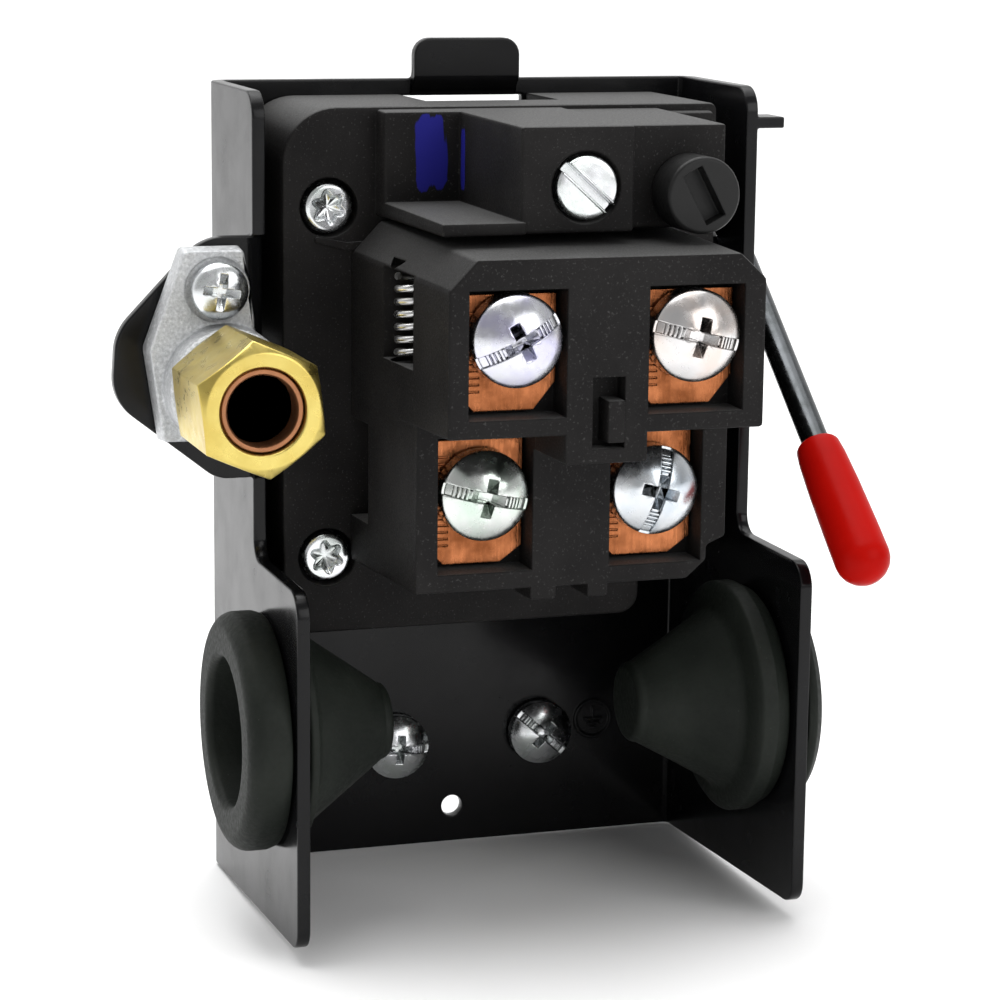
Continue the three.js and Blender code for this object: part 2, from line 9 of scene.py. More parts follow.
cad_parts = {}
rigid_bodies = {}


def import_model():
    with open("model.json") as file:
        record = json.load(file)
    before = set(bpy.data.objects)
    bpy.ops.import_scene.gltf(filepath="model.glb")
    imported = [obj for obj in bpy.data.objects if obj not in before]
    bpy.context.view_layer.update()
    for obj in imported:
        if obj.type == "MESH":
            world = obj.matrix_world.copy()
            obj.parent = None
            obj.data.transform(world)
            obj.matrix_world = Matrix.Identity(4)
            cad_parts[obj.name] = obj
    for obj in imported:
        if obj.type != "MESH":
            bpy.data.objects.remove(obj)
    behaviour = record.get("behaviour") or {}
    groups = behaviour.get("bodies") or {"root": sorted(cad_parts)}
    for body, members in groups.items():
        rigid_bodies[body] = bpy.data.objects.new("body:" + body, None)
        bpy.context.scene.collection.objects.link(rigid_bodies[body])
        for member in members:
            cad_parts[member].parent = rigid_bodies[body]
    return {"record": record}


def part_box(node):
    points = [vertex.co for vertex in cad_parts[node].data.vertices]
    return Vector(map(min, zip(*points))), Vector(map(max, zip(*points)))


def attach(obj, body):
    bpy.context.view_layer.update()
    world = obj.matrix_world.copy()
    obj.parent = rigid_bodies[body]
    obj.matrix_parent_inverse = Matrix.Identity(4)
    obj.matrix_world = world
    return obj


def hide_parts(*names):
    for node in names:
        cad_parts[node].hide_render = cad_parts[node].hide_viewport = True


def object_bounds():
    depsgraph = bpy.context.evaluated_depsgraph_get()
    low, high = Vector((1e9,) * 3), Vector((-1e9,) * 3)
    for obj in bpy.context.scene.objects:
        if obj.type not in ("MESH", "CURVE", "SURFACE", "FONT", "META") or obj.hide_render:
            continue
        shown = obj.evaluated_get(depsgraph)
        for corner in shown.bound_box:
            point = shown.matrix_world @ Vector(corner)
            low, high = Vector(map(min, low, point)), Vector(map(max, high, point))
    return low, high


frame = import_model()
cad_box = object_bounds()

MM = 0.001
DEG = math.pi / 180
BODY = "switch_body"

# -------- driving dimensions
# Pieces are drawn in millimetres from the lower back edge of the frame's plate, X to the right
# and Y to the back, so that the front of the switch faces -Y.
DATUM = Vector((0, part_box("frame")[1].y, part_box("frame")[0].z)) / MM
GAP = 0.3

SHEET = 1.5
HALF_WIDTH = 30
PLATE_HEIGHT = 94.1
UPPER_FLANGE = -21.84
LOWER_FLANGE = -41.2
SHOULDER = 41.9
EAR_LOW, EAR_HIGH = 51.2, 78.3
BEND_OUTSIDE, BEND_INSIDE = 2.2, 0.7

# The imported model's origin is the middle of the port's face.
PORT_FACE, PORT_Z = -DATUM.y, -DATUM.z
PORT_HOLE = 13
GROMMET_Y, GROMMET_Z = -27.5, 23.6
GROMMET_HOLE, GROMMET_GROOVE = 11, 10.7
LEVER_Y, LEVER_Z = -12, 74.2
PIVOT_Y, PIVOT_Z = -10, 46
VALVE_X, VALVE_Z = -34.1, 62.3
VALVE_BACK = -22.1
VALVE_SCREW_X, VALVE_SCREW_Z = -34.8, 72.9
VALVE_SCREW_HOLE, VALVE_PIN_HOLE = 1.8, 1.6
NUT_FRONT, NUT_BACK = -43.3, -29.4

HOUSING_FRONT, HOUSING_BACK = -21.5, -1.8
HOUSING_FLOOR = -5.3
TOWER_FRONT = -45.5
RANGE_X, RANGE_Z = 0.5, 85.3
KNOB_X, KNOB_Z = 13, 84.4
KNOB_BACK = -42.8

BLOCK_UPPER_FRONT, BLOCK_LOWER_FRONT = -54, -43.5
BLOCK_BACK = -21.8
TRIP_X, TRIP_Y = -15.4, -35.6
PLATE_HALF = 5.05
PLATE_THICK = 0.9
TERMINAL_HOLE = 2.15
TAIL_HALF, TAIL_THICK, TAIL_BACK = 2.3, 1, -24.5
FOOT_HEIGHT = 5
ROLL_RADIUS = 0.55

# Front face, bottom and top of the terminal plates in each row.
PLATE_ROWS = {"upper": (-51.2, 62.7, 75), "lower": (-40.7, 44.2, 57.9)}
# Place of each terminal screw, the turn of its slot in degrees, and its row.
TERMINALS = {
    "motor_left": (-9.7, 70.4, -28, "upper"),
    "motor_right": (10.1, 70.3, 14, "upper"),
    "line_left": (-9.7, 52.1, 13, "lower"),
    "line_right": (9.9, 51.8, -75, "lower"),
}
BODY_SCREWS = {
    "upper_left": (-21.2, 81.2),
    "upper_right": (21.2, 81.2),
    "lower_left": (-21.4, 41.5),
    "lower_right": (21.4, 41.5),
}
BODY_SCREW_SEAT = -18.9
# Place of each ground screw and the turn of its slot in degrees.
GROUND_SCREWS = {"ground_screw_1": (-7.5, 13.1, 5), "ground_screw_2": (11, 13.6, 42)}

# -------- camera, floor and light
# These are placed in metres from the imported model's origin.
CAMERA_PLACE = (-0.11172, -0.37597, 0.05547)
CAMERA_TURN = (78.84 * DEG, -0.64 * DEG, -18.17 * DEG)
CAMERA_LENS = 112.56
FLOOR_SIZE = 8
FLOOR_CLEARANCE = 0.0002


def add_camera():
    data = bpy.data.cameras.new("camera")
    data.lens = CAMERA_LENS
    data.sensor_width = 36
    data.clip_end = 20
    camera = bpy.data.objects.new("camera", data)
    camera.location = CAMERA_PLACE
    camera.rotation_euler = CAMERA_TURN
    bpy.context.collection.objects.link(camera)
    bpy.context.scene.camera = camera


def add_light(name, location, target, power, size=None):
    """Rectangular soft light, or a sun when it has no size."""
    data = bpy.data.lights.new(name, "AREA" if size else "SUN")
    data.energy = power
    if size:
        data.shape = "RECTANGLE"
        data.size, data.size_y = size
    else:
        data.angle = 70 * DEG
    lamp = bpy.data.objects.new(name, data)
    lamp.location = location
    lamp.rotation_euler = (Vector(target) - Vector(location)).to_track_quat("-Z", "Y").to_euler()
    bpy.context.collection.objects.link(lamp)


def studio_world():
    """White surroundings, dimmer on the side that the object faces."""
    world = bpy.data.worlds.new("studio")
    world.use_nodes = True
    tree = world.node_tree
    direction = tree.nodes.new("ShaderNodeTexCoord").outputs["Generated"]
    split = tree.nodes.new("ShaderNodeSeparateXYZ")
    tree.links.new(direction, split.inputs[0])
    shade = tree.nodes.new("ShaderNodeMapRange")
    shade.interpolation_type = "SMOOTHSTEP"
    limits = {"From Min": -0.5, "From Max": 0.4, "To Min": 0.45, "To Max": 1.0}
    for name, value in limits.items():
        shade.inputs[name].default_value = value
    background = tree.nodes["Background"]
    background.inputs["Color"].default_value = (1, 1, 1, 1)
    tree.links.new(split.outputs["Y"], shade.inputs["Value"])
    tree.links.new(shade.outputs["Result"], background.inputs["Strength"])
    return world


def add_studio():
    scene = bpy.context.scene
    scene.view_settings.view_transform = "Standard"
    scene.world = studio_world()
    add_light("key_top", (-0.1, 0.05, 0.6), (0, -0.03, 0), 2, (0.6, 0.5))
    add_light("front_fill", (0.3, -0.6, 0.25), (0, -0.03, -0.02), 1.6, (0.5, 0.4))
    add_light("overhead", (0, 0.2, 1), (0, 0, 0), 1.9)
    add_floor()


def add_floor():
    under = (0, 0, cad_box[0][2] - FLOOR_CLEARANCE)
    bpy.ops.mesh.primitive_plane_add(size=FLOOR_SIZE, location=under)
    floor = bpy.context.object
    floor.name = "floor"
    paint = bpy.data.materials.new("floor_white")
    paint.use_nodes = True
    shader = paint.node_tree.nodes["Principled BSDF"]
    shader.inputs["Base Color"].default_value = (0.93, 0.93, 0.93, 1)
    shader.inputs["Roughness"].default_value = 0.9
    floor.data.materials.append(paint)


# -------- materials
class Nodes:
    """Small builder for a procedural material on the Principled shader."""

    def __init__(self, name):
        self.material = bpy.data.materials.new(name)
        self.material.use_nodes = True
        self.tree = self.material.node_tree
        self.shader = self.tree.nodes["Principled BSDF"]
        self.place = self.add("TexCoord").outputs["Object"]

    def add(self, kind):
        return self.tree.nodes.new("ShaderNode" + kind)

    def link(self, source, target):
        self.tree.links.new(source, target)

    def noise(self, scale, detail=3, roughness=0.55, stretch=None):
        """Cloudy noise, squeezed along each axis by the stretch."""
        node = self.add("TexNoise")
        node.inputs["Scale"].default_value = scale
        node.inputs["Detail"].default_value = detail
        node.inputs["Roughness"].default_value = roughness
        self.link(self.stretched(stretch), node.inputs["Vector"])
        return node.outputs["Fac"]

    def stretched(self, stretch):
        if stretch is None:
            return self.place
        node = self.add("Mapping")
        node.inputs["Scale"].default_value = stretch
        self.link(self.place, node.inputs["Vector"])
        return node.outputs["Vector"]

    def cells(self, scale):
        """Distance to the nearest of many scattered points."""
        node = self.add("TexVoronoi")
        node.inputs["Scale"].default_value = scale
        self.link(self.place, node.inputs["Vector"])
        return node.outputs["Distance"]

    def ramp(self, source, *stops):
        """Colour ramp; each stop is (position, grey or colour)."""
        node = self.add("ValToRGB")
        ramp = node.color_ramp
        while len(ramp.elements) < len(stops):
            ramp.elements.new(0.5)
        for element, (position, colour) in zip(ramp.elements, stops):
            element.position = position
            colour = (colour,) * 3 if isinstance(colour, (int, float)) else colour
            element.color = (*colour, 1)
        self.link(source, node.inputs["Fac"])
        return node.outputs["Color"]

    def within(self, axis, low, high, soft):
        """Mask between two places along an axis, with soft edges, in the drawing's millimetres."""
        split = self.add("SeparateXYZ")
        self.link(self.place, split.inputs[0])
        origin = DATUM["XYZ".index(axis)]
        edges = []
        for near, far in ((low, low + soft), (high, high - soft)):
            node = self.add("MapRange")
            node.inputs["From Min"].default_value = (near + origin) * MM
            node.inputs["From Max"].default_value = (far + origin) * MM
            self.link(split.outputs[axis], node.inputs["Value"])
            edges.append(node.outputs["Result"])
        return self.times(*edges)

    def times(self, first, second):
        node = self.add("Math")
        node.operation = "MULTIPLY"
        self.link(first, node.inputs[0])
        self.link(second, node.inputs[1])
        return node.outputs[0]

    def upward(self):
        """Mask of the surfaces that face up, where painted top light and dust are laid."""
        geometry = self.add("NewGeometry")
        split = self.add("SeparateXYZ")
        self.link(geometry.outputs["Normal"], split.inputs[0])
        return self.ramp(split.outputs["Z"], (0.55, 0), (0.97, 1))

    def mix(self, factor, first, second, blend="MIX"):
        """Colour mix; the factor is a socket or number, the others are sockets or colours."""
        node = self.add("Mix")
        node.data_type = "RGBA"
        node.blend_type = blend
        for index, value in ((0, factor), (6, first), (7, second)):
            self.feed(node.inputs[index], value)
        return node.outputs[2]

    def feed(self, socket, value):
        """Links a socket to an output, or sets it to a number or colour."""
        if hasattr(value, "is_output"):
            self.link(value, socket)
        elif isinstance(value, (int, float)):
            socket.default_value = value
        else:
            socket.default_value = (*value, 1)

    def bump(self, *layers, rounded=0.0):
        """Bump from (height, strength, depth in metres) layers over edges rounded by a radius."""
        normal = None
        if rounded:
            edge = self.add("Bevel")
            edge.samples = 6
            edge.inputs["Radius"].default_value = rounded
            normal = edge.outputs["Normal"]
        for height, strength, depth in layers:
            node = self.add("Bump")
            node.inputs["Strength"].default_value = strength
            node.inputs["Distance"].default_value = depth
            self.link(height, node.inputs["Height"])
            if normal:
                self.link(normal, node.inputs["Normal"])
            normal = node.outputs["Normal"]
        self.link(normal, self.shader.inputs["Normal"])

    def set(self, **values):
        """Feeds the shader's sockets, named in lower case with underscores."""
        for name, value in values.items():
            socket_name = name.replace("_", " ").title().replace("Ior", "IOR")
            self.feed(self.shader.inputs[socket_name], value)


def black_steel():
    n = Nodes("black_steel_paint")
    # Pale dust specks scattered at random.
    pale_overlay = n.ramp(n.cells(900), (0.0, 1), (0.035, 0))
    peel = n.noise(700, 2)
    blotch = n.ramp(n.noise(90, 4), (0.4, 0), (0.7, 1))
    base = n.mix(blotch, (0.003, 0.003, 0.0034), (0.006, 0.006, 0.0066))
    n.set(
        base_color=n.mix(pale_overlay, base, (0.09, 0.09, 0.09)),
        roughness=n.ramp(n.noise(160, 4), (0.3, 0.15), (0.75, 0.3)),
        specular_ior_level=0.16, coat_weight=0.05, coat_roughness=0.1,
    )
    n.bump((peel, 0.12, 0.00004), rounded=0.00025)
    return n.material


def phenolic(name, inked=False):
    """Filled phenolic moulding, paler on its upward faces with painted top light mixed with dust, and, when
    inked, a smear of blue marking ink.
    """
    n = Nodes(name)
    grain = n.noise(5200, 3, 0.7)
    flow = n.ramp(n.noise(130, 5), (0.35, 0), (0.7, 1))
    pits = n.ramp(n.cells(2600), (0.0, 0), (0.12, 1))
    base = n.mix(flow, (0.0075, 0.007, 0.007), (0.013, 0.0122, 0.012))
    speck = n.ramp(n.noise(3800, 2), (0.62, 0), (0.74, 1))
    # Upward faces are mixed towards pale grey: painted light on the tops, partly dust.
    pale_overlay = n.times(n.upward(), n.ramp(n.noise(3000, 3), (0.3, 0.5), (0.7, 0.9)))
    colour = n.mix(pale_overlay, n.mix(speck, base, (0.04, 0.039, 0.038)), (0.085, 0.085, 0.084))
    if inked:
        colour = n.mix(ink_smear(n), colour, (0.015, 0.015, 0.2))
    n.set(
        base_color=colour,
        roughness=n.ramp(grain, (0.3, 0.42), (0.7, 0.66)),
        specular_ior_level=0.1,
    )
    n.bump((grain, 0.5, 0.00003), (pits, 0.25, 0.00003), rounded=0.0003)
    return n.material


def ink_smear(n):
    """Mask of a brushed mark on the upper left of the housing, ragged at its edges."""
    strokes = n.noise(420, 3, 0.6, stretch=(2.6, 1, 0.5))
    patch = n.times(n.within("X", -12.6, -7.9, 1.2), n.within("Z", 82.2, 92.5, 2.2))
    streak = n.times(n.within("Y", -26.6, -24.7, 0.5), n.within("Z", 82.4, 91, 2))
    beside = n.times(streak, n.within("X", -7.3, -6.6, 0.1))
    return n.ramp(n.times(n.mix(1, patch, beside, "LIGHTEN"), strokes), (0.22, 0), (0.27, 1))


def black_plastic():
    n = Nodes("black_knob_plastic")
    grain = n.noise(2600, 3)
    n.set(
        base_color=n.mix(n.noise(300, 3), (0.007, 0.007, 0.007), (0.012, 0.012, 0.012)),
        roughness=n.ramp(grain, (0.3, 0.32), (0.7, 0.5)),
        specular_ior_level=0.2,
    )
    n.bump((grain, 0.25, 0.00002), rounded=0.0002)
    return n.material


def plated_steel(name, bright, tint):
    """Zinc plating whose passivation film shows a tint in patches."""
    n = Nodes(name)
    film = n.ramp(n.noise(300, 3), (0.4, 0), (0.66, 1))
    dull = n.ramp(n.noise(190, 2), (0.55, 0), (0.72, 1))
    n.set(
        base_color=n.mix(dull, n.mix(film, bright, tint), [0.92 * shade for shade in bright]),
        metallic=1.0,
        roughness=n.ramp(n.noise(900, 4), (0.3, 0.16), (0.75, 0.34)),
    )
    n.bump((n.noise(1500, 4), 0.18, 0.00003), rounded=0.00012)
    return n.material


def die_cast():
    n = Nodes("die_cast_zinc")
    grain = n.noise(2600, 5, 0.75)
    flakes = n.ramp(n.cells(1700), (0.1, 0), (0.5, 0.35))
    ripple = n.noise(420, 4)
    tone = n.mix(n.ramp(grain, (0.38, 0), (0.62, 1)), (0.46, 0.47, 0.48), (0.78, 0.79, 0.80))
    n.set(
        base_color=n.mix(flakes, tone, (0.36, 0.37, 0.38)),
        metallic=0.92,
        roughness=n.ramp(grain, (0.3, 0.3), (0.7, 0.58)),
    )
    n.bump((ripple, 0.6, 0.0003), (grain, 1.0, 0.00016), rounded=0.0003)
    return n.material


def brass():
    n = Nodes("machined_brass")
    lines = n.noise(900, 2, 0.5, stretch=(1, 7, 1))
    patina = n.ramp(n.noise(220, 4), (0.35, 0), (0.75, 1))
    n.set(
        base_color=n.mix(patina, (0.62, 0.50, 0.15), (0.50, 0.37, 0.085)),
        metallic=1.0,
        roughness=n.ramp(n.noise(700, 4), (0.3, 0.24), (0.75, 0.4)),
    )
    n.bump((lines, 0.15, 0.00003), rounded=0.00018)
    return n.material


def bronze():
    n = Nodes("bronze_sleeve")
    n.set(
        base_color=n.mix(n.noise(500, 4), (0.42, 0.19, 0.09), (0.24, 0.10, 0.05)),
        metallic=0.85,
        roughness=n.ramp(n.noise(1200, 3), (0.3, 0.28), (0.75, 0.5)),
    )
    n.bump((n.noise(1600, 3), 0.25, 0.00003), rounded=0.0001)
    return n.material


def copper():
    n = Nodes("rolled_copper")
    rolled = n.noise(500, 3, 0.5, stretch=(6, 1, 0.6))
    tarnish = n.ramp(n.noise(300, 4), (0.35, 0), (0.65, 1))
    n.set(
        base_color=n.mix(tarnish, (0.44, 0.155, 0.062), (0.19, 0.06, 0.021)),
        metallic=1.0,
        roughness=n.ramp(rolled, (0.3, 0.2), (0.75, 0.42)),
    )
    n.bump((rolled, 0.5, 0.00005), (n.noise(420, 4), 0.6, 0.0002), rounded=0.00015)
    return n.material


def rubber():
    n = Nodes("moulded_rubber")
    skin = n.noise(1800, 4, 0.6)
    bloom = n.ramp(n.noise(110, 4), (0.4, 0), (0.75, 1))
    specks = n.ramp(n.cells(700), (0.0, 1), (0.045, 0))
    base = n.mix(bloom, (0.007, 0.009, 0.007), (0.015, 0.018, 0.0145))
    n.set(
        base_color=n.mix(specks, base, (0.07, 0.08, 0.07)),
        roughness=n.ramp(skin, (0.3, 0.5), (0.75, 0.72)),
        specular_ior_level=0.15,
    )
    n.bump((n.noise(160, 3), 0.25, 0.0002), (skin, 0.6, 0.00007), rounded=0.0003)
    return n.material


def red_vinyl():
    n = Nodes("dipped_red_vinyl")
    flow = n.noise(260, 3)
    n.set(
        base_color=n.mix(flow, (0.42, 0.004, 0.002), (0.33, 0.003, 0.0015)),
        roughness=n.ramp(n.noise(600, 3), (0.3, 0.28), (0.75, 0.4)),
        specular_ior_level=0.04,
    )
    n.bump((flow, 0.25, 0.0002), (n.noise(1500, 2), 0.08, 0.00003))
    return n.material


def spring_steel():
    n = Nodes("drawn_spring_wire")
    n.set(
        base_color=n.mix(n.noise(600, 3), (0.62, 0.62, 0.62), (0.45, 0.45, 0.44)),
        metallic=1.0,
        roughness=n.ramp(n.noise(900, 3), (0.3, 0.22), (0.75, 0.4)),
    )
    n.bump((n.noise(1300, 3), 0.2, 0.00002))
    return n.material


def make_materials():
    return {
        "black_steel": black_steel(),
        "phenolic": phenolic("phenolic_moulding"),
        "phenolic_inked": phenolic("phenolic_moulding_inked", True),
        "black_plastic": black_plastic(),
        "copper": copper(),
        "brass": brass(),
        "bronze": bronze(),
        "plated_steel": plated_steel("zinc_plated_steel", (0.72, 0.73, 0.75), (0.60, 0.64, 0.62)),
        # Darker copy of the zinc plating for the lever rod: painted shade.
        "rod_painted_shade": plated_steel("zinc_rod_painted_shade", (0.085, 0.09, 0.095), (0.05, 0.055, 0.055)),
        "motor_left": plated_steel("zinc_film_violet", (0.66, 0.67, 0.70), (0.55, 0.54, 0.68)),
        "motor_right": plated_steel("zinc_film_rose", (0.68, 0.67, 0.67), (0.64, 0.57, 0.53)),
        "line_left": plated_steel("zinc_film_green", (0.66, 0.68, 0.66), (0.53, 0.62, 0.55)),
        "line_right": plated_steel("zinc_film_blue", (0.65, 0.67, 0.69), (0.52, 0.57, 0.62)),
        "die_cast": die_cast(),
        "rubber": rubber(),
        "red_vinyl": red_vinyl(),
        "spring_steel": spring_steel(),
    }


# -------- solids drawn in millimetres
AXES = {"x": (1, 2, 0), "y": (0, 2, 1), "z": (0, 1, 2)}
MERGE_DISTANCE = 0.004
FLAT_ANGLE = 0.4 * DEG
SHARP_ANGLE = 30 * DEG


def place(axis, across, up, along):
    """Point from two coordinates of the plane facing an axis and one along it."""
    point = Vector((0, 0, 0))
    for index, value in zip(AXES[axis], (across, up, along)):
        point[index] = value
    return point


def outline(*points, steps=6):
    """Closed outline; a third number on a point rounds its corner by that radius."""
    drawn = []
    for i, point in enumerate(points):
        corner = Vector(point[:2])
        if len(point) == 2:
            drawn.append(corner)
            continue
        radius = point[2]
        before = (Vector(points[i - 1][:2]) - corner).normalized()
        after = (Vector(points[(i + 1) % len(points)][:2]) - corner).normalized()
        half = before.angle(after) / 2
        centre = corner + (before + after).normalized() * radius / math.sin(half)
        start = corner + before * radius / math.tan(half) - centre
        turn = math.copysign(math.pi - 2 * half, -before.cross(after))
        for step in range(steps + 1):
            drawn.append(centre + Matrix.Rotation(turn * step / steps, 2) @ start)
    return drawn


def circle(radius, across=0, up=0, count=64, start=0):
    """Points around a circle, the first at the start angle in degrees."""
    angles = [start * DEG + 2 * math.pi * i / count for i in range(count)]
    return [Vector((across + radius * math.cos(a), up + radius * math.sin(a))) for a in angles]


def shrunk(points, inset):
    """Outline scaled so that its sides move in by one inset, or by (left, right, bottom, top)."""
    left, right, bottom, top = inset if isinstance(inset, tuple) else (inset,) * 4
    low = Vector((min(p.x for p in points), min(p.y for p in points)))
    size = Vector((max(p.x for p in points), max(p.y for p in points))) - low
    scale = Vector((1 - (left + right) / size.x, 1 - (bottom + top) / size.y))
    start = low + Vector((left, bottom))
    return [start + Vector(((p.x - low.x) * scale.x, (p.y - low.y) * scale.y)) for p in points]


def skin(rings, loop=False):
    """Solid through rings of equally many points, capped at its ends or closed into a loop."""
    build = bmesh.new()
    rows = [[build.verts.new(point) for point in ring] for ring in rings]
    following = rows[1:] + rows[:1] if loop else rows[1:]
    for row, after in zip(rows, following):
        for i in range(len(row)):
            build.faces.new((row[i - 1], row[i], after[i], after[i - 1]))
    if not loop:
        build.faces.new(rows[0])
        build.faces.new(rows[-1])
    bmesh.ops.recalc_face_normals(build, faces=build.faces)
    mesh = bpy.data.meshes.new("shape")
    build.to_mesh(mesh)
    build.free()
    shape = bpy.data.objects.new("shape", mesh)
    bpy.context.collection.objects.link(shape)
    return shape


def prism(axis, points, low, high, inset=0):
    """Solid over an outline between two places on an axis; its low end can be drawn in."""
    far = [place(axis, p.x, p.y, high) for p in points]
    near = [place(axis, p.x, p.y, low) for p in (shrunk(points, inset) if inset else points)]
    return skin([near, far])


def box(x, y, z, inset=0):
    """Box between three pairs of limits; its front face can be drawn in, as moulding draft does."""
    corners = [Vector(p) for p in ((x[0], z[0]), (x[1], z[0]), (x[1], z[1]), (x[0], z[1]))]
    return prism("y", corners, y[0], y[1], inset)


def cylinder(axis, radius, middle, ends, count=32):
    """Round bar between two places on an axis, for holes and bores."""
    return prism(axis, circle(radius, *middle, count), *ends)


def turned(axis, profile, across=0, up=0, count=96, loop=False):
    """Solid of revolution through (radius, along) points about a line parallel to an axis."""
    rings = []
    for radius, along in profile:
        rings.append([place(axis, p.x, p.y, along) for p in circle(radius, across, up, count)])
    return skin(rings, loop)


def bake(shape):
    """Replaces a shape's mesh by what its modifiers make of it."""
    graph = bpy.context.evaluated_depsgraph_get()
    mesh = bpy.data.meshes.new_from_object(shape.evaluated_get(graph))
    shape.modifiers.clear()
    shape.data = mesh
    return shape


def boolean(shape, operation, tools):
    """Combines a shape with its tools, which are used up."""
    for tool in tools:
        step = shape.modifiers.new(operation, "BOOLEAN")
        step.operation = operation
        step.solver = "MANIFOLD"
        step.object = tool
    bake(shape)
    for tool in tools:
        bpy.data.objects.remove(tool)
    return shape


def join(shape, *tools):
    return boolean(shape, "UNION", tools)


def cut(shape, *tools):
    return boolean(shape, "DIFFERENCE", tools)


def common(shape, *tools):
    return boolean(shape, "INTERSECT", tools)


def moved(shape, matrix):
    shape.data.transform(matrix)
    return shape


def cleaned(shape):
    """Merges the flat triangles that cutting leaves, so that only real edges remain."""
    build = bmesh.new()
    build.from_mesh(shape.data)
    bmesh.ops.remove_doubles(build, verts=build.verts, dist=MERGE_DISTANCE)
    bmesh.ops.dissolve_limit(build, angle_limit=FLAT_ANGLE, verts=build.verts, edges=build.edges)
    build.to_mesh(shape.data)
    build.free()
    return shape


def rounded(shape, width):
    """Rounds every sharp edge over a width."""
    edges = cleaned(shape).modifiers.new("edges", "BEVEL")
    edges.width = width
    edges.segments = 2
    edges.limit_method = "ANGLE"
    edges.angle_limit = SHARP_ANGLE
    edges.use_clamp_overlap = False
    return bake(shape)


def piece(shape, name, body, slot, nodes, smooth=40, look=None):
    """Finished piece that rides on a body and stands for CAD nodes.

    Its edges are shaded sharp where they turn by more than smooth degrees.
    """
    moved(shape, Matrix.Scale(MM, 4) @ Matrix.Translation(DATUM))
    shape.data.shade_smooth()
    shape.data.set_sharp_from_angle(angle=smooth * DEG)
    shape.modifiers.new("normals", "WEIGHTED_NORMAL").keep_sharp = True
    bake(shape)
    shape.name = shape.data.name = name
    shape.data.materials.clear()
    shape.data.materials.append(MATERIALS[look or slot])
    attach(shape, body)
    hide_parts(*nodes)
    return shape


# -------- bent steel frame
def channel():
    """Back plate with two side flanges, trimmed to their side view and open beside the ear."""
    w, s, uncut = HALF_WIDTH, SHEET, -60
    sheet = prism("z", outline(
        (-w, uncut), (-w, 0, BEND_OUTSIDE), (w, 0, BEND_OUTSIDE), (w, uncut),
        (w - s, uncut), (w - s, -s, BEND_INSIDE), (s - w, -s, BEND_INSIDE), (s - w, uncut),
    ), 0, PLATE_HEIGHT)
    side = prism("x", outline(
        (1, 0), (1, PLATE_HEIGHT), (UPPER_FLANGE, PLATE_HEIGHT, 3), (UPPER_FLANGE, SHOULDER, 2.3),
        (LOWER_FLANGE, SHOULDER, 3), (LOWER_FLANGE, 1.86, 2.5), steps=10,
    ), -w - 1, w + 1)
    ear_gap = box((-w - 1, 2 - w), (-25, -17.5), (EAR_LOW, EAR_HIGH))
    return cut(common(sheet, side), ear_gap)


def ear():
    """Tab that carries the unloader valve, bent out of the left flange."""
    w, uncut, root = HALF_WIDTH, -47, -17.4
    front, back = UPPER_FLANGE, UPPER_FLANGE + SHEET
    bend = prism("z", outline(
        (uncut, front), (SHEET - w, front, BEND_OUTSIDE), (SHEET - w, root), (-w, root),
        (-w, back, BEND_INSIDE), (uncut, back),
    ), EAR_LOW, EAR_HIGH)
    face = prism("y", outline(
        (2 - w, EAR_LOW), (-34.2, EAR_LOW, 4), (-45.9, 60.4, 5.5), (-45.4, 68, 6),
        (-35.6, EAR_HIGH, 6), (2 - w, EAR_HIGH), steps=10,
    ), -23, -16)
    return common(bend, face)


def cover_tab():
    """Joggled tab at the top of the back plate."""
    left, right, top = -5.9, 7.1, 98.9
    joggled = prism("x", outline(
        (0, 92), (0, 93.2, 1), (-1.7, 94.8, 1), (-1.7, top), (-3.2, top), (-3.2, 94.1, 1),
        (-1.5, 92.4, 1), (-1.5, 92),
    ), left, right)
    face = prism("y", outline((left, 90), (right, 90), (right, top, 2), (left, top, 2)), -4, 1)
    return common(joggled, face)


def frame_holes():
    left, right = -HALF_WIDTH - 1, HALF_WIDTH + 1
    plate_depth, ear_depth = (-3, 1), (-25, -15)
    window = box((-7.2, 8), plate_depth, (90.9, 92.1))
    port_hole = cylinder("y", PORT_HOLE, (0, PORT_Z), plate_depth, 64)
    small_hole = cylinder("y", 1.3, (0, 4.64), plate_depth)
    grommet_holes = cylinder("x", GROMMET_HOLE, (GROMMET_Y, GROMMET_Z), (left, right), 96)
    lever_hole = cylinder("x", 2.3, (LEVER_Y, LEVER_Z), (20, right), 40)
    arm_slot = box((left, -20), (-17.5, -7.5), (58.8, 65.8))
    valve_screw = (VALVE_SCREW_X, VALVE_SCREW_Z)
    valve_screw_hole = cylinder("y", VALVE_SCREW_HOLE, valve_screw, ear_depth)
    valve_pin_hole = cylinder("y", VALVE_PIN_HOLE, (VALVE_X, VALVE_Z), ear_depth)
    holes = [
        window, port_hole, small_hole, grommet_holes, lever_hole, arm_slot, valve_screw_hole,
        valve_pin_hole,
    ]
    holes += [cylinder("y", 2.1, (x, z), plate_depth) for x, z in BODY_SCREWS.values()]
    for x, z, _ in GROUND_SCREWS.values():
        holes.append(cylinder("y", 2.3, (x, z), plate_depth))
    return holes


def earth_symbol():
    """Ring, stem and three bars pressed up from the plate beside a ground screw."""
    x, z, face = 18.3, 14.5, -SHEET
    depth = (face - 0.2, face + 0.2)
    half_line = 0.14
    band = [(2.15, face - 0.25), (2.5, face - 0.25), (2.6, face + 0.2), (2.05, face + 0.2)]
    ring = turned("y", band, x, z, 48, True)
    stem = box((x - half_line, x + half_line), depth, (z, z + 1.5))
    bars = []
    for half, drop in ((1.2, 0), (0.8, 0.55), (0.4, 1.1)):
        level = z - drop
        bars.append(box((x - half, x + half), depth, (level - half_line, level + half_line)))
    return [ring, stem, *bars]


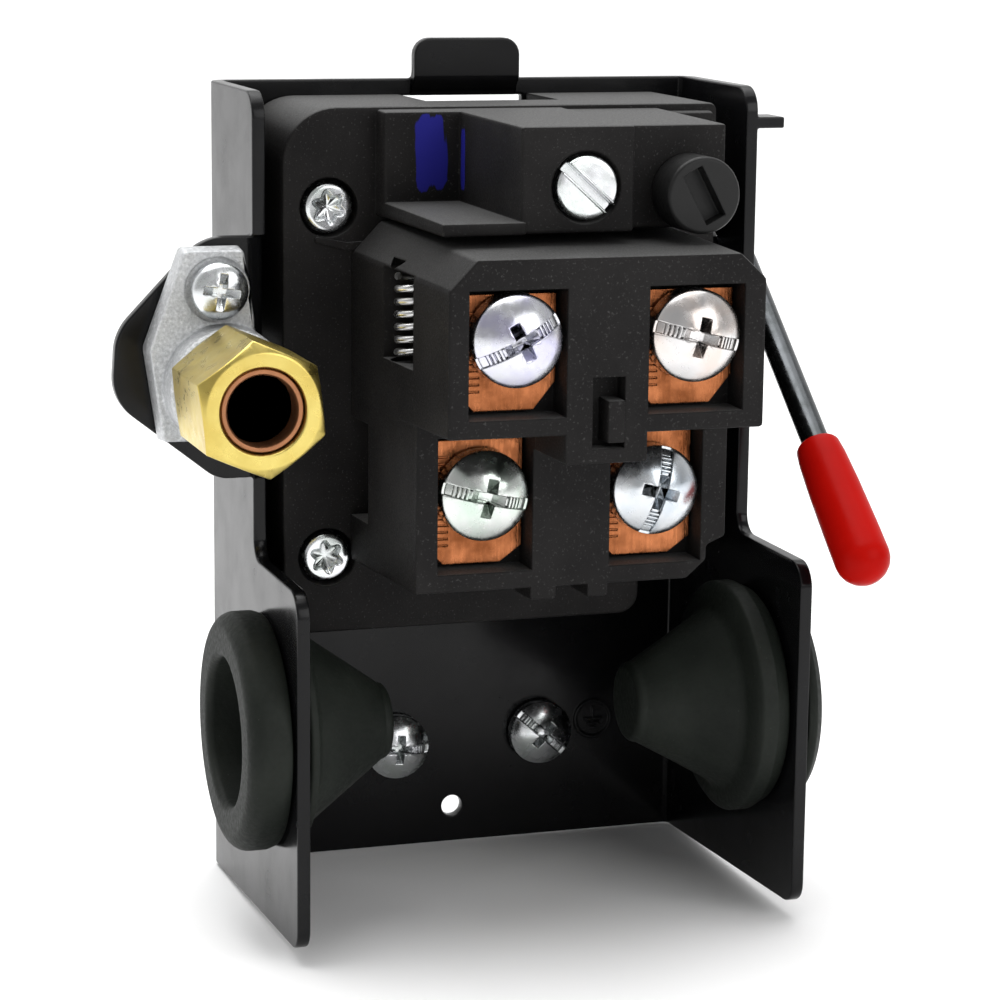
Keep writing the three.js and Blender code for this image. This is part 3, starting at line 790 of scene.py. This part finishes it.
def make_frame():
    lever_stop = box((HALF_WIDTH - 1, 33.3), (UPPER_FLANGE, -17), (89.3, 90.6))
    sheet = join(channel(), ear(), cover_tab(), lever_stop)
    cut(sheet, *frame_holes())
    rounded(sheet, 0.22)
    join(sheet, *earth_symbol())
    piece(sheet, "frame_sheet", BODY, "black_steel", ["frame"])


# -------- mouldings
def housing_body():
    """Base of the housing with the pads, shelf and towers that stand on its front."""
    base = prism("y", outline(
        (-26.5, 32.7, 3.3), (16.5, 32.7, 2.4), (16.5, 38), (25, 38, 1), (25, 92.3, 1),
        (-26.5, 92.3, 6.2), steps=12,
    ), HOUSING_FRONT, HOUSING_BACK)
    root, bottom = HOUSING_FRONT + 1, 80.2
    inked_pad = box((-15.75, -6), (-24.5, root), (81.2, 92), 0.08)
    shelf = box((-15.75, -6), (-46, root), (bottom, 82), 0.2)
    range_tower = box((-7, 6.2), (TOWER_FRONT, root), (bottom, 92), 0.25)
    knob_tower = box((5, 17.8), (-42.5, root), (bottom, 91.8), 0.25)
    right_pad = box((16.5, 24.4), (HOUSING_FRONT - 1.1, root), (79, 91.6), 0.3)
    raised = (inked_pad, shelf, range_tower, knob_tower, right_pad)
    return join(rounded(base, 0.4), *[rounded(part, 0.35) for part in raised])


def housing_hollows():
    """Space for the mechanism, bores for screws and pins, and a recess at the top rear."""
    front, back, floor = HOUSING_FRONT, HOUSING_BACK, HOUSING_FLOOR
    mechanism = box((-16, 16), (front - 0.1, floor), (43, 78))
    neck_space = box((-4.6, 5.6), (-17, floor), (77, 89.5))
    spring_bore = cylinder("y", 4.4, (RANGE_X, RANGE_Z), (TOWER_FRONT + 5, -16), 40)
    screw_bore = cylinder("y", 2.3, (RANGE_X, RANGE_Z), (TOWER_FRONT - 1, -16))
    screw_mouth = turned("y", [
        (3.95, TOWER_FRONT - 1), (3.95, TOWER_FRONT), (3.75, TOWER_FRONT + 0.3),
        (3.75, TOWER_FRONT + 1.6),
    ], RANGE_X, RANGE_Z, 64)
    knob_bore = cylinder("y", 2.6, (KNOB_X, KNOB_Z), (-43, -30))
    plunger_seat = cylinder("y", PORT_HOLE, (0, PORT_Z), (-3.4, back + 1), 64)
    plunger_bore = cylinder("y", 4.6, (0, PORT_Z), (floor - 1, back), 40)
    pin_hole = cylinder("x", 1.35, (PIVOT_Y, PIVOT_Z), (-18.2, 18.2))
    lever_hole = cylinder("x", 1.9, (LEVER_Y, LEVER_Z), (10, 26))
    arm_opening = box((-28, -15), (-17, -7), (59.3, 65.3))
    window_recess = box((-7.6, 8.4), (-13.5, back + 1), (90.4, 93))
    hollows = [
        mechanism, neck_space, spring_bore, screw_bore, screw_mouth, knob_bore, plunger_seat,
        plunger_bore, pin_hole, lever_hole, arm_opening, window_recess,
    ]
    for x, z in BODY_SCREWS.values():
        seat = [(3.6, front - 1.5), (3.35, front), (3.3, BODY_SCREW_SEAT)]
        hollows.append(turned("y", seat, x, z, 48))
        hollows.append(cylinder("y", 2, (x, z), (front - 1, back + 1)))
    return hollows


def make_housing():
    body = cut(housing_body(), *housing_hollows())
    bead = prism("y", outline(
        (-23.2, 77.5, 0.3), (-19.4, 76.5, 0.5), (-17, 76.3), (-17, 77.4), (-19.2, 77.3, 0.5),
        (-22.6, 78, 0.3),
    ), HOUSING_FRONT - 0.4, HOUSING_FRONT + 1)
    join(body, bead)
    shape = cleaned(body)
    piece(shape, "housing_moulding", BODY, "phenolic", ["base_housing"], look="phenolic_inked")


def block_body():
    """Stepped terminal block with its draft, before anything is cut out of it."""
    side = 18.7
    upper = prism("y", outline(
        (-side, 59.5), (-side, 76.2), (-15.4, 79.7), (15.5, 79.7), (side, 76.7), (side, 59.5),
    ), BLOCK_UPPER_FRONT, BLOCK_BACK, (1.4, 0.75, 0.75, 0.75))
    lower = prism("y", outline(
        (-side, 41.2), (-side, 62), (side, 62), (side, 46), (16.4, 45), (16.4, 43.3), (14, 41.2),
    ), BLOCK_LOWER_FRONT, BLOCK_BACK, (1.2, 0.5, 0.5, 0.5))
    tongue = box((-4.5, 4.9), (BLOCK_UPPER_FRONT, -42.5), (57, 61), 0.1)
    legs = [box(x, (BLOCK_LOWER_FRONT, -38), (40.2, 43), 0.1) for x in ((-4.6, -1.4), (2, 4.6))]
    added = (lower, tongue, *legs)
    return join(rounded(upper, 0.4), *[rounded(part, 0.3) for part in added])


def block_hollows():
    """Contact space, centre slot, side openings, and a pocket for each terminal."""
    contact_space = box((-15.5, 15), (-31, -20), (44.2, 77.3))
    centre_slot = box((-1.45, 2.15), (-56, -51.5), (58.7, 66.3))
    spring_bore = cylinder("z", 2.6, (TRIP_X, TRIP_Y), (65.5, 77), 40)
    spring_slot = box((-20, -15), (-43, -32.9), (66, 76))
    side_opening = box((-20, -16.6), (-27.8, -20), (46.4, 57.7))
    hollows = [contact_space, centre_slot, spring_bore, spring_slot, side_opening]
    for x, z, _, row in TERMINALS.values():
        face, low, high = PLATE_ROWS[row]
        mouth = (BLOCK_UPPER_FRONT if row == "upper" else BLOCK_LOWER_FRONT) - 1
        half = PLATE_HALF + 0.2
        tail = tail_low(row)
        hollows += [
            box((x - half, x + half), (mouth, face + 1.2), (low - 0.4, high + 0.6), -0.15),
            cylinder("y", TERMINAL_HOLE, (x, z), (face, face + 7.2)),
            box((x - 2.6, x + 2.6), (face, -28), (tail - GAP, tail + TAIL_THICK + GAP)),
        ]
    return hollows


def make_block():
    body = cut(block_body(), *block_hollows())
    rib = rounded(box((0.1, 2.2), (-54.3, -50.5), (59.2, 63.9), 0.1), 0.2)
    join(body, rib)
    piece(cleaned(body), "terminal_block_moulding", BODY, "phenolic", ["contact_block"])


# -------- screws
def cross_recess(length, width, top, depth):
    """Tapered cross cut into a head, from above its top down by the depth."""
    arms = []
    for across, up in ((length / 2, width / 2), (width / 2, length / 2)):
        mouth = [(-across, -up), (across, -up), (across, up), (-across, up)]
        taper_x, taper_z = (0.35, 0.7) if across > up else (0.7, 0.35)
        arms.append(skin([
            [Vector((x * 1.15, top - 0.4, z * 1.15)) for x, z in mouth],
            [Vector((x, top + 0.25, z)) for x, z in mouth],
            [Vector((x * taper_x, top + depth, z * taper_z)) for x, z in mouth],
        ]))
    return join(*arms)


def placed(shape, x, y, z, turn):
    """Moves a shape drawn about the Y axis into place, turned about it by some degrees."""
    return moved(shape, Matrix.Translation((x, y, z)) @ Matrix.Rotation(turn * DEG, 4, "Y"))


def dome(radius, height, top, inset=0.0):
    """Shallow ball-shaped crown as a profile from its rim to near its middle."""
    ball = (radius * radius + height * height) / (2 * height)
    profile = []
    for share in (1, 0.94, 0.85, 0.73, 0.58, 0.42, 0.24, 0.06):
        reach = radius * share
        profile.append((reach, top + inset + ball - math.sqrt(ball * ball - reach * reach)))
    return profile


def slotted_crown(head, rim, radius, height, top, width, length):
    """Coins a shallow ridged slot and a cross recess into a head domed from its rim to its top."""
    floor = turned("y", [(radius, rim), *dome(radius, height, top, 0.35)])
    slot = cut(box((-6, 6), (top - 1, rim), (-width / 2, width / 2)), floor)
    crest = turned("y", [(radius - 0.1, rim), *dome(radius - 0.1, height, top, 0.12)])
    across = (0.02 - width / 2, width / 2 - 0.02)
    teeth = []
    for side in (-1, 1):
        for share in (0.56, 0.66, 0.76, 0.86):
            x = side * length * share
            teeth.append(box((x - 0.13, x + 0.13), (top - 1, rim), across))
    ridges = common(join(*teeth), crest)
    recess = cross_recess(radius * 0.95, radius * 0.25, top, 2)
    return join(cut(head, slot, recess), ridges)


def binding_screw():
    """Domed terminal screw with a coined slot across a cross recess."""
    radius, height, top, rim = 4.8, 1.95, -4.4, -2.2
    body = [(1.9, 6), (1.9, 0), (radius, 0), (radius + 0.15, -0.15), (radius + 0.15, rim)]
    head = turned("y", [*body, *dome(radius, height, top)])
    return slotted_crown(head, rim, radius, height, top, 1.25, 4.4)


def ground_screw():
    """Domed earth screw with the same kind of recess as the terminal screws."""
    radius, height, top, rim = 3.8, 1.5, -2.9, -1.3
    body = [(1.7, 8.1), (2, 7.8), (2, 0), (3.85, 0), (3.95, -0.15), (3.95, rim)]
    head = turned("y", [*body, *dome(radius, height, top)])
    return slotted_crown(head, rim, radius, height, top, 1.0, 3.4)


def lobed(radius, depth, lobes=6, samples=96):
    """Round outline with shallow waves around it."""
    points = []
    for i in range(samples):
        angle = 2 * math.pi * i / samples
        reach = radius + depth * math.cos(lobes * angle)
        points.append(Vector((reach * math.cos(angle), reach * math.sin(angle))))
    return points


def body_screw():
    """Housing screw with a six-lobed recess."""
    head = turned("y", [
        (1.85, 23.6), (1.85, -0.2), (2.9, -0.3), (2.9, -1.5), (2.6, -2.1), (2.2, -2.3),
    ])
    rings = []
    for radius, depth, along in ((1.75, 0.3, -2.6), (1.7, 0.3, -2.3), (1.3, 0.24, -1.6), (0.3, 0.02, -1.3)):
        rings.append([Vector((point.x, along, point.y)) for point in lobed(radius, depth)])
    return cut(head, skin(rings))


def pan_screw(radius, height, shank, length):
    """Pan head screw with a cross recess."""
    crown = []
    for angle in (6, 20, 34, 48, 62, 76, 86):
        rise = 0.45 + 0.55 * math.sin(angle * DEG)
        crown.append((radius * math.cos(angle * DEG), -height * rise))
    head = turned("y", [
        (shank - 0.3, length + 0.3), (shank, length), (shank, 0), (radius - 0.1, 0),
        (radius, -0.15), *crown,
    ], count=72)
    return cut(head, cross_recess(radius * 1.35, radius * 0.28, -height, 1.6))


def make_body_screws():
    for name, (x, z) in BODY_SCREWS.items():
        screw = placed(rounded(body_screw(), 0.08), x, BODY_SCREW_SEAT - GAP, z, 20)
        piece(screw, f"lobe_screw_{name}", BODY, "plated_steel", [f"body_screw_{name}"])


def make_ground_screws():
    for name, (x, z, turn) in GROUND_SCREWS.items():
        screw = placed(rounded(ground_screw(), 0.06), x, -SHEET - GAP, z, turn)
        piece(screw, f"{name}_detail", f"{name}_body", "plated_steel", [name])


# -------- terminals
def tail_low(row):
    """Lower side of the tail, which leaves an upper plate near its top and a lower one at its foot."""
    _, low, high = PLATE_ROWS[row]
    return high - TAIL_THICK - GAP if row == "upper" else low


def plate(x, z, row):
    """Copper plate with a serrated edge and a rolled top, its tail and its contact foot."""
    face, low, high = PLATE_ROWS[row]
    left, right = x - PLATE_HALF, x + PLATE_HALF
    chamfer, foot_low = (3, high - FOOT_HEIGHT) if row == "upper" else (1.8, low)
    blade = prism("y", outline(
        (left, low + 1.2), (left + 1.1, low), (x + 2.6, low), (right, low + chamfer),
        (right, high), (left, high),
    ), face, face + PLATE_THICK)
    width = (x - TAIL_HALF, x + TAIL_HALF)
    tail = box(width, (face + 0.1, TAIL_BACK), (tail_low(row), tail_low(row) + TAIL_THICK))
    foot = box(width, (TAIL_BACK - TAIL_THICK, TAIL_BACK), (foot_low, foot_low + FOOT_HEIGHT))
    r = ROLL_RADIUS
    roll = turned("x", [(r, left), (r, right)], face + r, high - r, 24)
    hole = cylinder("y", TERMINAL_HOLE, (x, z), (face - 1, face + 2), 40)
    join(blade, tail, foot, roll)
    cut(blade, hole, *serrations(left, face, low, high))
    return rounded(blade, 0.07)


def serrations(left, face, low, high):
    """Shallow grooves across the left edge of a terminal plate."""
    pitch = 0.75
    grooves = []
    for i in range(int((high - low - 3) / pitch)):
        level = low + 2 + pitch * i
        grooves.append(box((left - 1, left + 1.7), (face - 1, face + 0.14), (level, level + 0.22)))
    return grooves


def make_terminals():
    for name, (x, z, turn, row) in TERMINALS.items():
        seat = PLATE_ROWS[row][0] - GAP
        screw = placed(rounded(binding_screw(), 0.07), x, seat, z, turn)
        piece(
            screw, f"binding_screw_{name}", f"{name}_screw", "plated_steel",
            [f"terminal_screw_{name}"], look=name,
        )
        piece(plate(x, z, row), f"contact_plate_{name}", BODY, "copper", [f"terminal_plate_{name}"])


# -------- adjusters
def make_range_screw():
    """Set screw with a straight slot whose edges are burred."""
    screw = turned("y", [
        (1.6, 27), (2, 26.5), (2, 0.2), (3.3, 0.2), (3.4, 0.1), (3.4, -1.5), (3.2, -1.75),
        (2.6, -1.85), (0.4, -1.9),
    ], count=72)
    cut(screw, box((-4, 4), (-3, -0.6), (-0.55, 0.55)))
    burrs = [box((-3.2, 3.2), (-1.98, -1.4), (z - 0.1, z + 0.1)) for z in (-0.68, 0.68)]
    join(screw, *burrs)
    placed(rounded(screw, 0.06), RANGE_X, TOWER_FRONT + 1.2, RANGE_Z, 42)
    piece(screw, "range_screw_detail", "range_screw_body", "plated_steel", ["range_screw"])


def make_knob():
    """Round knob with a wide slot and a small nub beside it."""
    knob = turned("y", [
        (1.9, 12), (2.4, 11.5), (2.4, 0.2), (3.95, 0), (4.15, -0.2), (4.15, -4.75),
        (4.05, -5.0), (3.85, -5.15), (0.5, -5.2),
    ])
    cut(knob, box((-2.95, 2.95), (-6, -3.4), (-1.15, 1.15), -0.05))
    join(knob, turned("y", [(0.35, -0.9), (0.35, 0.6)], 3.5, -1.2, 20))
    placed(rounded(knob, 0.12), KNOB_X, KNOB_BACK, KNOB_Z, 62)
    piece(knob, "differential_knob_detail", "knob_body", "black_plastic", ["differential_knob"])


# -------- lever
LEVER_ELBOW = Vector((32, LEVER_Y, LEVER_Z))
LEVER_TIP = Vector((32.9, -50.2, 41.8))
LEVER_ROD = 1.6
GRIP_MOUTH_Y = -35.5


def bent_path(start, corner_in, corner_out, end):
    """Path along four points with a smooth corner between the middle two."""
    reach = (corner_out - corner_in).length / math.sqrt(2)
    elbow = corner_in + (corner_in - start).normalized() * reach
    path = [start]
    for i in range(11):
        t = i / 10
        path.append(corner_in.lerp(elbow, t).lerp(elbow.lerp(corner_out, t), t))
    path.append(end)
    return path


def bar(path, radius, count=32):
    """Round bar along a path."""
    angles = [2 * math.pi * i / count for i in range(count)]
    rings = []
    side = Vector((0, 0, 1))
    for i, point in enumerate(path):
        ahead = (path[min(i + 1, len(path) - 1)] - path[max(i - 1, 0)]).normalized()
        side = (side - ahead * side.dot(ahead)).normalized()
        other = ahead.cross(side)
        rings.append([point + (side * math.cos(a) + other * math.sin(a)) * radius for a in angles])
    return skin(rings)


def make_lever_rod(along):
    inner_end = Vector((13.3, LEVER_Y, LEVER_Z))
    bend = 2.4
    path = bent_path(
        inner_end, LEVER_ELBOW + Vector((-bend, 0, 0)), LEVER_ELBOW + along * bend,
        LEVER_TIP - along * 3,
    )
    rod = rounded(bar(path, LEVER_ROD), 0.2)
    # The rod takes the darker copy of the zinc plating, which is painted shade.
    piece(rod, "lever_rod_bent", "lever_body", "plated_steel", ["lever_rod"], look="rod_painted_shade")


def make_lever_grip(along):
    share = (GRIP_MOUTH_Y - LEVER_ELBOW.y) / (LEVER_TIP.y - LEVER_ELBOW.y)
    mouth = LEVER_ELBOW.lerp(LEVER_TIP, share)
    length = (LEVER_TIP - mouth).length
    tip = []
    for angle in (0, 15, 30, 45, 60, 72, 82):
        tip.append((3.15 * math.cos(angle * DEG), length - 3.1 + 3.1 * math.sin(angle * DEG)))
    grip = turned("y", [
        (2.2, 0), (2.42, 0.08), (2.55, 0.3), (2.62, 0.9), (2.75, 2), (2.95, 6), (3.1, 12), *tip,
    ], count=64)
    cut(grip, turned("y", [(1.9, -1), (1.9, length - 2.6)], count=40))
    turn = Vector((0, 1, 0)).rotation_difference(along).to_matrix().to_4x4()
    moved(grip, Matrix.Translation(mouth) @ turn)
    piece(grip, "lever_grip_dipped", "lever_body", "red_vinyl", ["lever_cap"])


def make_lever():
    along = (LEVER_TIP - LEVER_ELBOW).normalized()
    make_lever_rod(along)
    make_lever_grip(along)


# -------- unloader valve
def valve_body():
    """Die-cast foot on the ear with the round boss and the spigot that takes the tube nut."""
    x, z, back = VALVE_X, VALVE_Z, VALVE_BACK
    screw_x, screw_z = VALVE_SCREW_X, VALVE_SCREW_Z
    foot = prism("y", outline(
        (-30.4, 56), (-30.4, 69.6), (-31.6, 77.4, 0.5), (-38.5, 77.4, 0.7), (-42.6, 66.4, 2), (-41, 56),
        steps=8,
    ), back - 3.2, back, 0.25)
    boss = turned("y", [(6.9, back), (6.85, -26), (6.75, -28.7), (6.5, -29.1)], x, z)
    spigot = turned("y", [(5.3, -28), (5.3, -40), (5.1, -40.3)], x, z, 64)
    join(foot, boss, spigot)
    return cut(
        foot,
        cylinder("y", 4.6, (x, z), (-41, -33.6), 48),
        cylinder("y", 3.2, (x, z), (-33.9, -25.5), 40),
        cylinder("y", VALVE_PIN_HOLE, (x, z), (-41, back + 1)),
        cylinder("y", VALVE_SCREW_HOLE, (screw_x, screw_z), (-33, back + 1)),
        turned("y", [(3.6, -34), (3.55, back - 3.15)], screw_x, screw_z, 48),
    )


def tube_nut():
    """Hexagonal brass nut, 13 mm across flats, with turned chamfers at both ends."""
    x, z, front, back = VALVE_X, VALVE_Z, NUT_FRONT, NUT_BACK
    corner = 6.5 / math.cos(30 * DEG)
    hexagon = prism("y", circle(corner, x, z, 6, 97), front, back)
    chamfers = turned("y", [
        (6.15, front), (corner + 0.15, front + 0.95), (corner + 0.15, back - 0.8), (6.2, back),
    ], x, z)
    return cut(
        common(hexagon, chamfers),
        cylinder("y", 5.6, (x, z), (-40.6, back + 1), 64),
        turned("y", [(5.0, front - 0.5), (4.6, front + 0.35), (4.6, -40)], x, z, 64),
    )


def make_valve():
    piece(rounded(valve_body(), 0.25), "unloader_casting", BODY, "die_cast", ["unloader_body"])
    piece(rounded(tube_nut(), 0.12), "tube_nut_machined", "tube_nut", "brass", ["unloader_nut"])
    sleeve = turned("y", [
        (3.95, -42.8), (4.35, -42.8), (4.5, -42.6), (4.3, -40), (4.3, -34), (3.75, -34), (3.75, -42.55),
    ], VALVE_X, VALVE_Z, 64, True)
    piece(sleeve, "sleeve_flared", BODY, "bronze", ["unloader_sleeve"])
    screw = rounded(pan_screw(3.15, 2.3, 1.5, 6.2), 0.05)
    placed(screw, VALVE_SCREW_X, VALVE_BACK - 3.5, VALVE_SCREW_Z, 8)
    piece(screw, "unloader_screw_detail", BODY, "plated_steel", ["unloader_screw"])


# -------- grommets
# Both profiles are (radius, distance from the middle of the switch) and run around the section.
GROMMET_OUT = HALF_WIDTH + GAP
GROMMET_IN = HALF_WIDTH - SHEET - GAP


def arc(centre_radius, centre_along, radius, start, end, count=6):
    """Rounded stretch of a turned profile, between two angles in degrees."""
    angles = [(start + (end - start) * i / count) * DEG for i in range(count + 1)]
    return [(centre_radius + radius * math.cos(a), centre_along + radius * math.sin(a)) for a in angles]


def left_grommet():
    """Section with a thick ring outside the flange and a closed cone inside it."""
    ring = [
        (8.3, 33.8), *arc(9.2, 34.1, 0.9, 180, 90), *arc(11.4, 33, 2, 90, 0, 9), (13.4, 31.2),
        (13.1, GROMMET_OUT), (GROMMET_GROOVE, GROMMET_OUT), (GROMMET_GROOVE, GROMMET_IN),
    ]
    lip = [
        (12.5, GROMMET_IN), *arc(12.4, GROMMET_IN - 0.4, 0.4, 90, 0, 4),
        *arc(12.2, 27.4, 0.4, 0, -80, 4), (11.3, 26.8),
    ]
    cone = [
        (10.9, 26.2), (8.6, 23), (4.6, 17.4), *arc(3.4, 17.2, 1.0, 10, -90), (0.02, 16.2),
        (0.02, 17.8), (2.9, 17.9), (8, 24.6),
    ]
    return ring + lip + cone


def right_grommet():
    """Section with a thin ring outside the flange, a thick one inside it and a closed cone."""
    ring = [
        (8.3, 31.8), *arc(8.8, 31.8, 0.5, 180, 90), *arc(12.1, 31.8, 0.5, 90, 40),
        *arc(13.0, 31.1, 0.4, 40, 0, 4), (13.4, 30.8), (13.2, GROMMET_OUT),
        (GROMMET_GROOVE, GROMMET_OUT), (GROMMET_GROOVE, GROMMET_IN),
    ]
    thick_ring = [
        (12.4, GROMMET_IN), (12.75, GROMMET_IN - 0.3), *arc(13.1, 26.3, 0.4, 60, 0, 4),
        *arc(13.1, 24.8, 0.4, 0, -60, 4), (12.6, 23.9), (11, 23.75),
    ]
    cone = [
        (10.4, 23.5), (10.0, 23), (7.4, 18.6), (4.8, 14.0), *arc(3.8, 13.7, 0.9, 0, -90),
        (0.02, 12.8), (0.02, 14.4), (3, 14.6), (8, 24),
    ]
    return ring + thick_ring + cone


def make_grommets():
    for side, profile, sign in (("left", left_grommet(), -1), ("right", right_grommet(), 1)):
        section = [(radius, along * sign) for radius, along in profile]
        grommet = turned("x", section, GROMMET_Y, GROMMET_Z, loop=True)
        piece(grommet, f"rubber_grommet_{side}", BODY, "rubber", [f"grommet_{side}"], smooth=50)


# -------- pressure side
def port_outside():
    """Square diaphragm cover with corner bosses, a raised disc, ribs and the hexagonal port."""
    start, face, half = GAP, PORT_FACE, 25.6
    flange = prism("y", outline(
        (-half, PORT_Z - 24, 6), (half, PORT_Z - 24, 6), (half, PORT_Z + 24, 6),
        (-half, PORT_Z + 24, 6), steps=10,
    ), start, start + 4.4)
    plateau = turned("y", [(21.6, start + 3), (21.2, start + 5.4), (20.4, start + 6)], 0, PORT_Z)
    boss = [(4.1, start + 2), (3.9, start + 5.9), (3.6, start + 6)]
    corners = [turned("y", boss, x, z, 48) for x, z in BODY_SCREWS.values()]
    ribs = []
    for angle in (45, 135, 225, 315):
        rib = box((-0.9, 0.9), (start + 3, start + 5.6), (9, 25))
        ribs.append(rounded(placed(rib, 0, 0, PORT_Z, angle), 0.35))
    hexagon = prism("y", circle(10.5 / math.cos(30 * DEG), 0, PORT_Z, 6), start + 1, face)
    chamfer = turned("y", [(13, start), (13, face - 1), (10.9, face)], 0, PORT_Z)
    return join(rounded(flange, 0.5), plateau, *corners, *ribs, common(hexagon, chamfer))


def port_hollows():
    """Diaphragm chamber, port bore, pressure hole and screw holes."""
    start, face = GAP, PORT_FACE
    hollows = [
        turned("y", [(20.3, start - 1), (20.3, start + 1.7)], 0, PORT_Z),
        cylinder("y", PORT_HOLE, (0, PORT_Z), (start - 1, start + 4), 64),
        turned("y", [(5.6, face - 11.4), (5.6, face - 1), (6.4, face + 0.2)], 0, PORT_Z, 64),
        cylinder("y", 1.8, (0, PORT_Z), (start, face)),
    ]
    for x, z in BODY_SCREWS.values():
        hollows.append(cylinder("y", 1.95, (x, z), (start - 1, start + 8)))
    return hollows


def port_threads():
    """Six pointed grooves around the port bore, as its thread."""
    pitch, first = 1.5, 9.2
    threads = []
    for level in (first + pitch * i for i in range(6)):
        groove = [(5.7, level - pitch / 2), (6.1, level), (5.7, level + pitch / 2)]
        threads.append(turned("y", groove, 0, PORT_Z, 64))
    return threads


def make_port():
    cover = port_outside()
    cut(cover, *port_hollows())
    cut(cover, *port_threads())
    piece(cleaned(cover), "diaphragm_cover_casting", BODY, "die_cast", ["diaphragm_flange"])


# -------- trip spring
def coil(x, y, radius, wire, low, high, turns):
    """Wire spring about an upright axis between two heights."""
    steps = int(turns * 20)
    rings = []
    for i in range(steps + 1):
        angle = 2 * math.pi * turns * i / steps
        height = low + (high - low) * i / steps
        ring = []
        for k in range(10):
            tilt = 2 * math.pi * k / 10
            reach = radius + wire * math.cos(tilt)
            around = Vector((reach * math.cos(angle), reach * math.sin(angle), wire * math.sin(tilt)))
            ring.append(Vector((x, y, height)) + around)
        rings.append(ring)
    return skin(rings)


def make_trip_spring():
    low, high = (corner.z / MM - DATUM.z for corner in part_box("trip_spring"))
    spring = coil(TRIP_X, TRIP_Y, 1.85, 0.42, low + 0.4, high - 0.4, 6.5)
    piece(spring, "trip_spring_wound", BODY, "spring_steel", ["trip_spring"], smooth=80)


# -------- the whole switch
def finish_cad_nodes():
    """Every CAD node takes the procedural material of its slot."""
    for part in frame["record"]["subparts"]:
        data = bpy.data.objects[part["node"]].data
        data.materials.clear()
        data.materials.append(MATERIALS[part["material_slot"]])


add_camera()
add_studio()
MATERIALS = make_materials()
finish_cad_nodes()
make_frame()
make_housing()
make_block()
make_terminals()
make_body_screws()
make_ground_screws()
make_range_screw()
make_knob()
make_lever()
make_valve()
make_grommets()
make_port()
make_trip_spring()
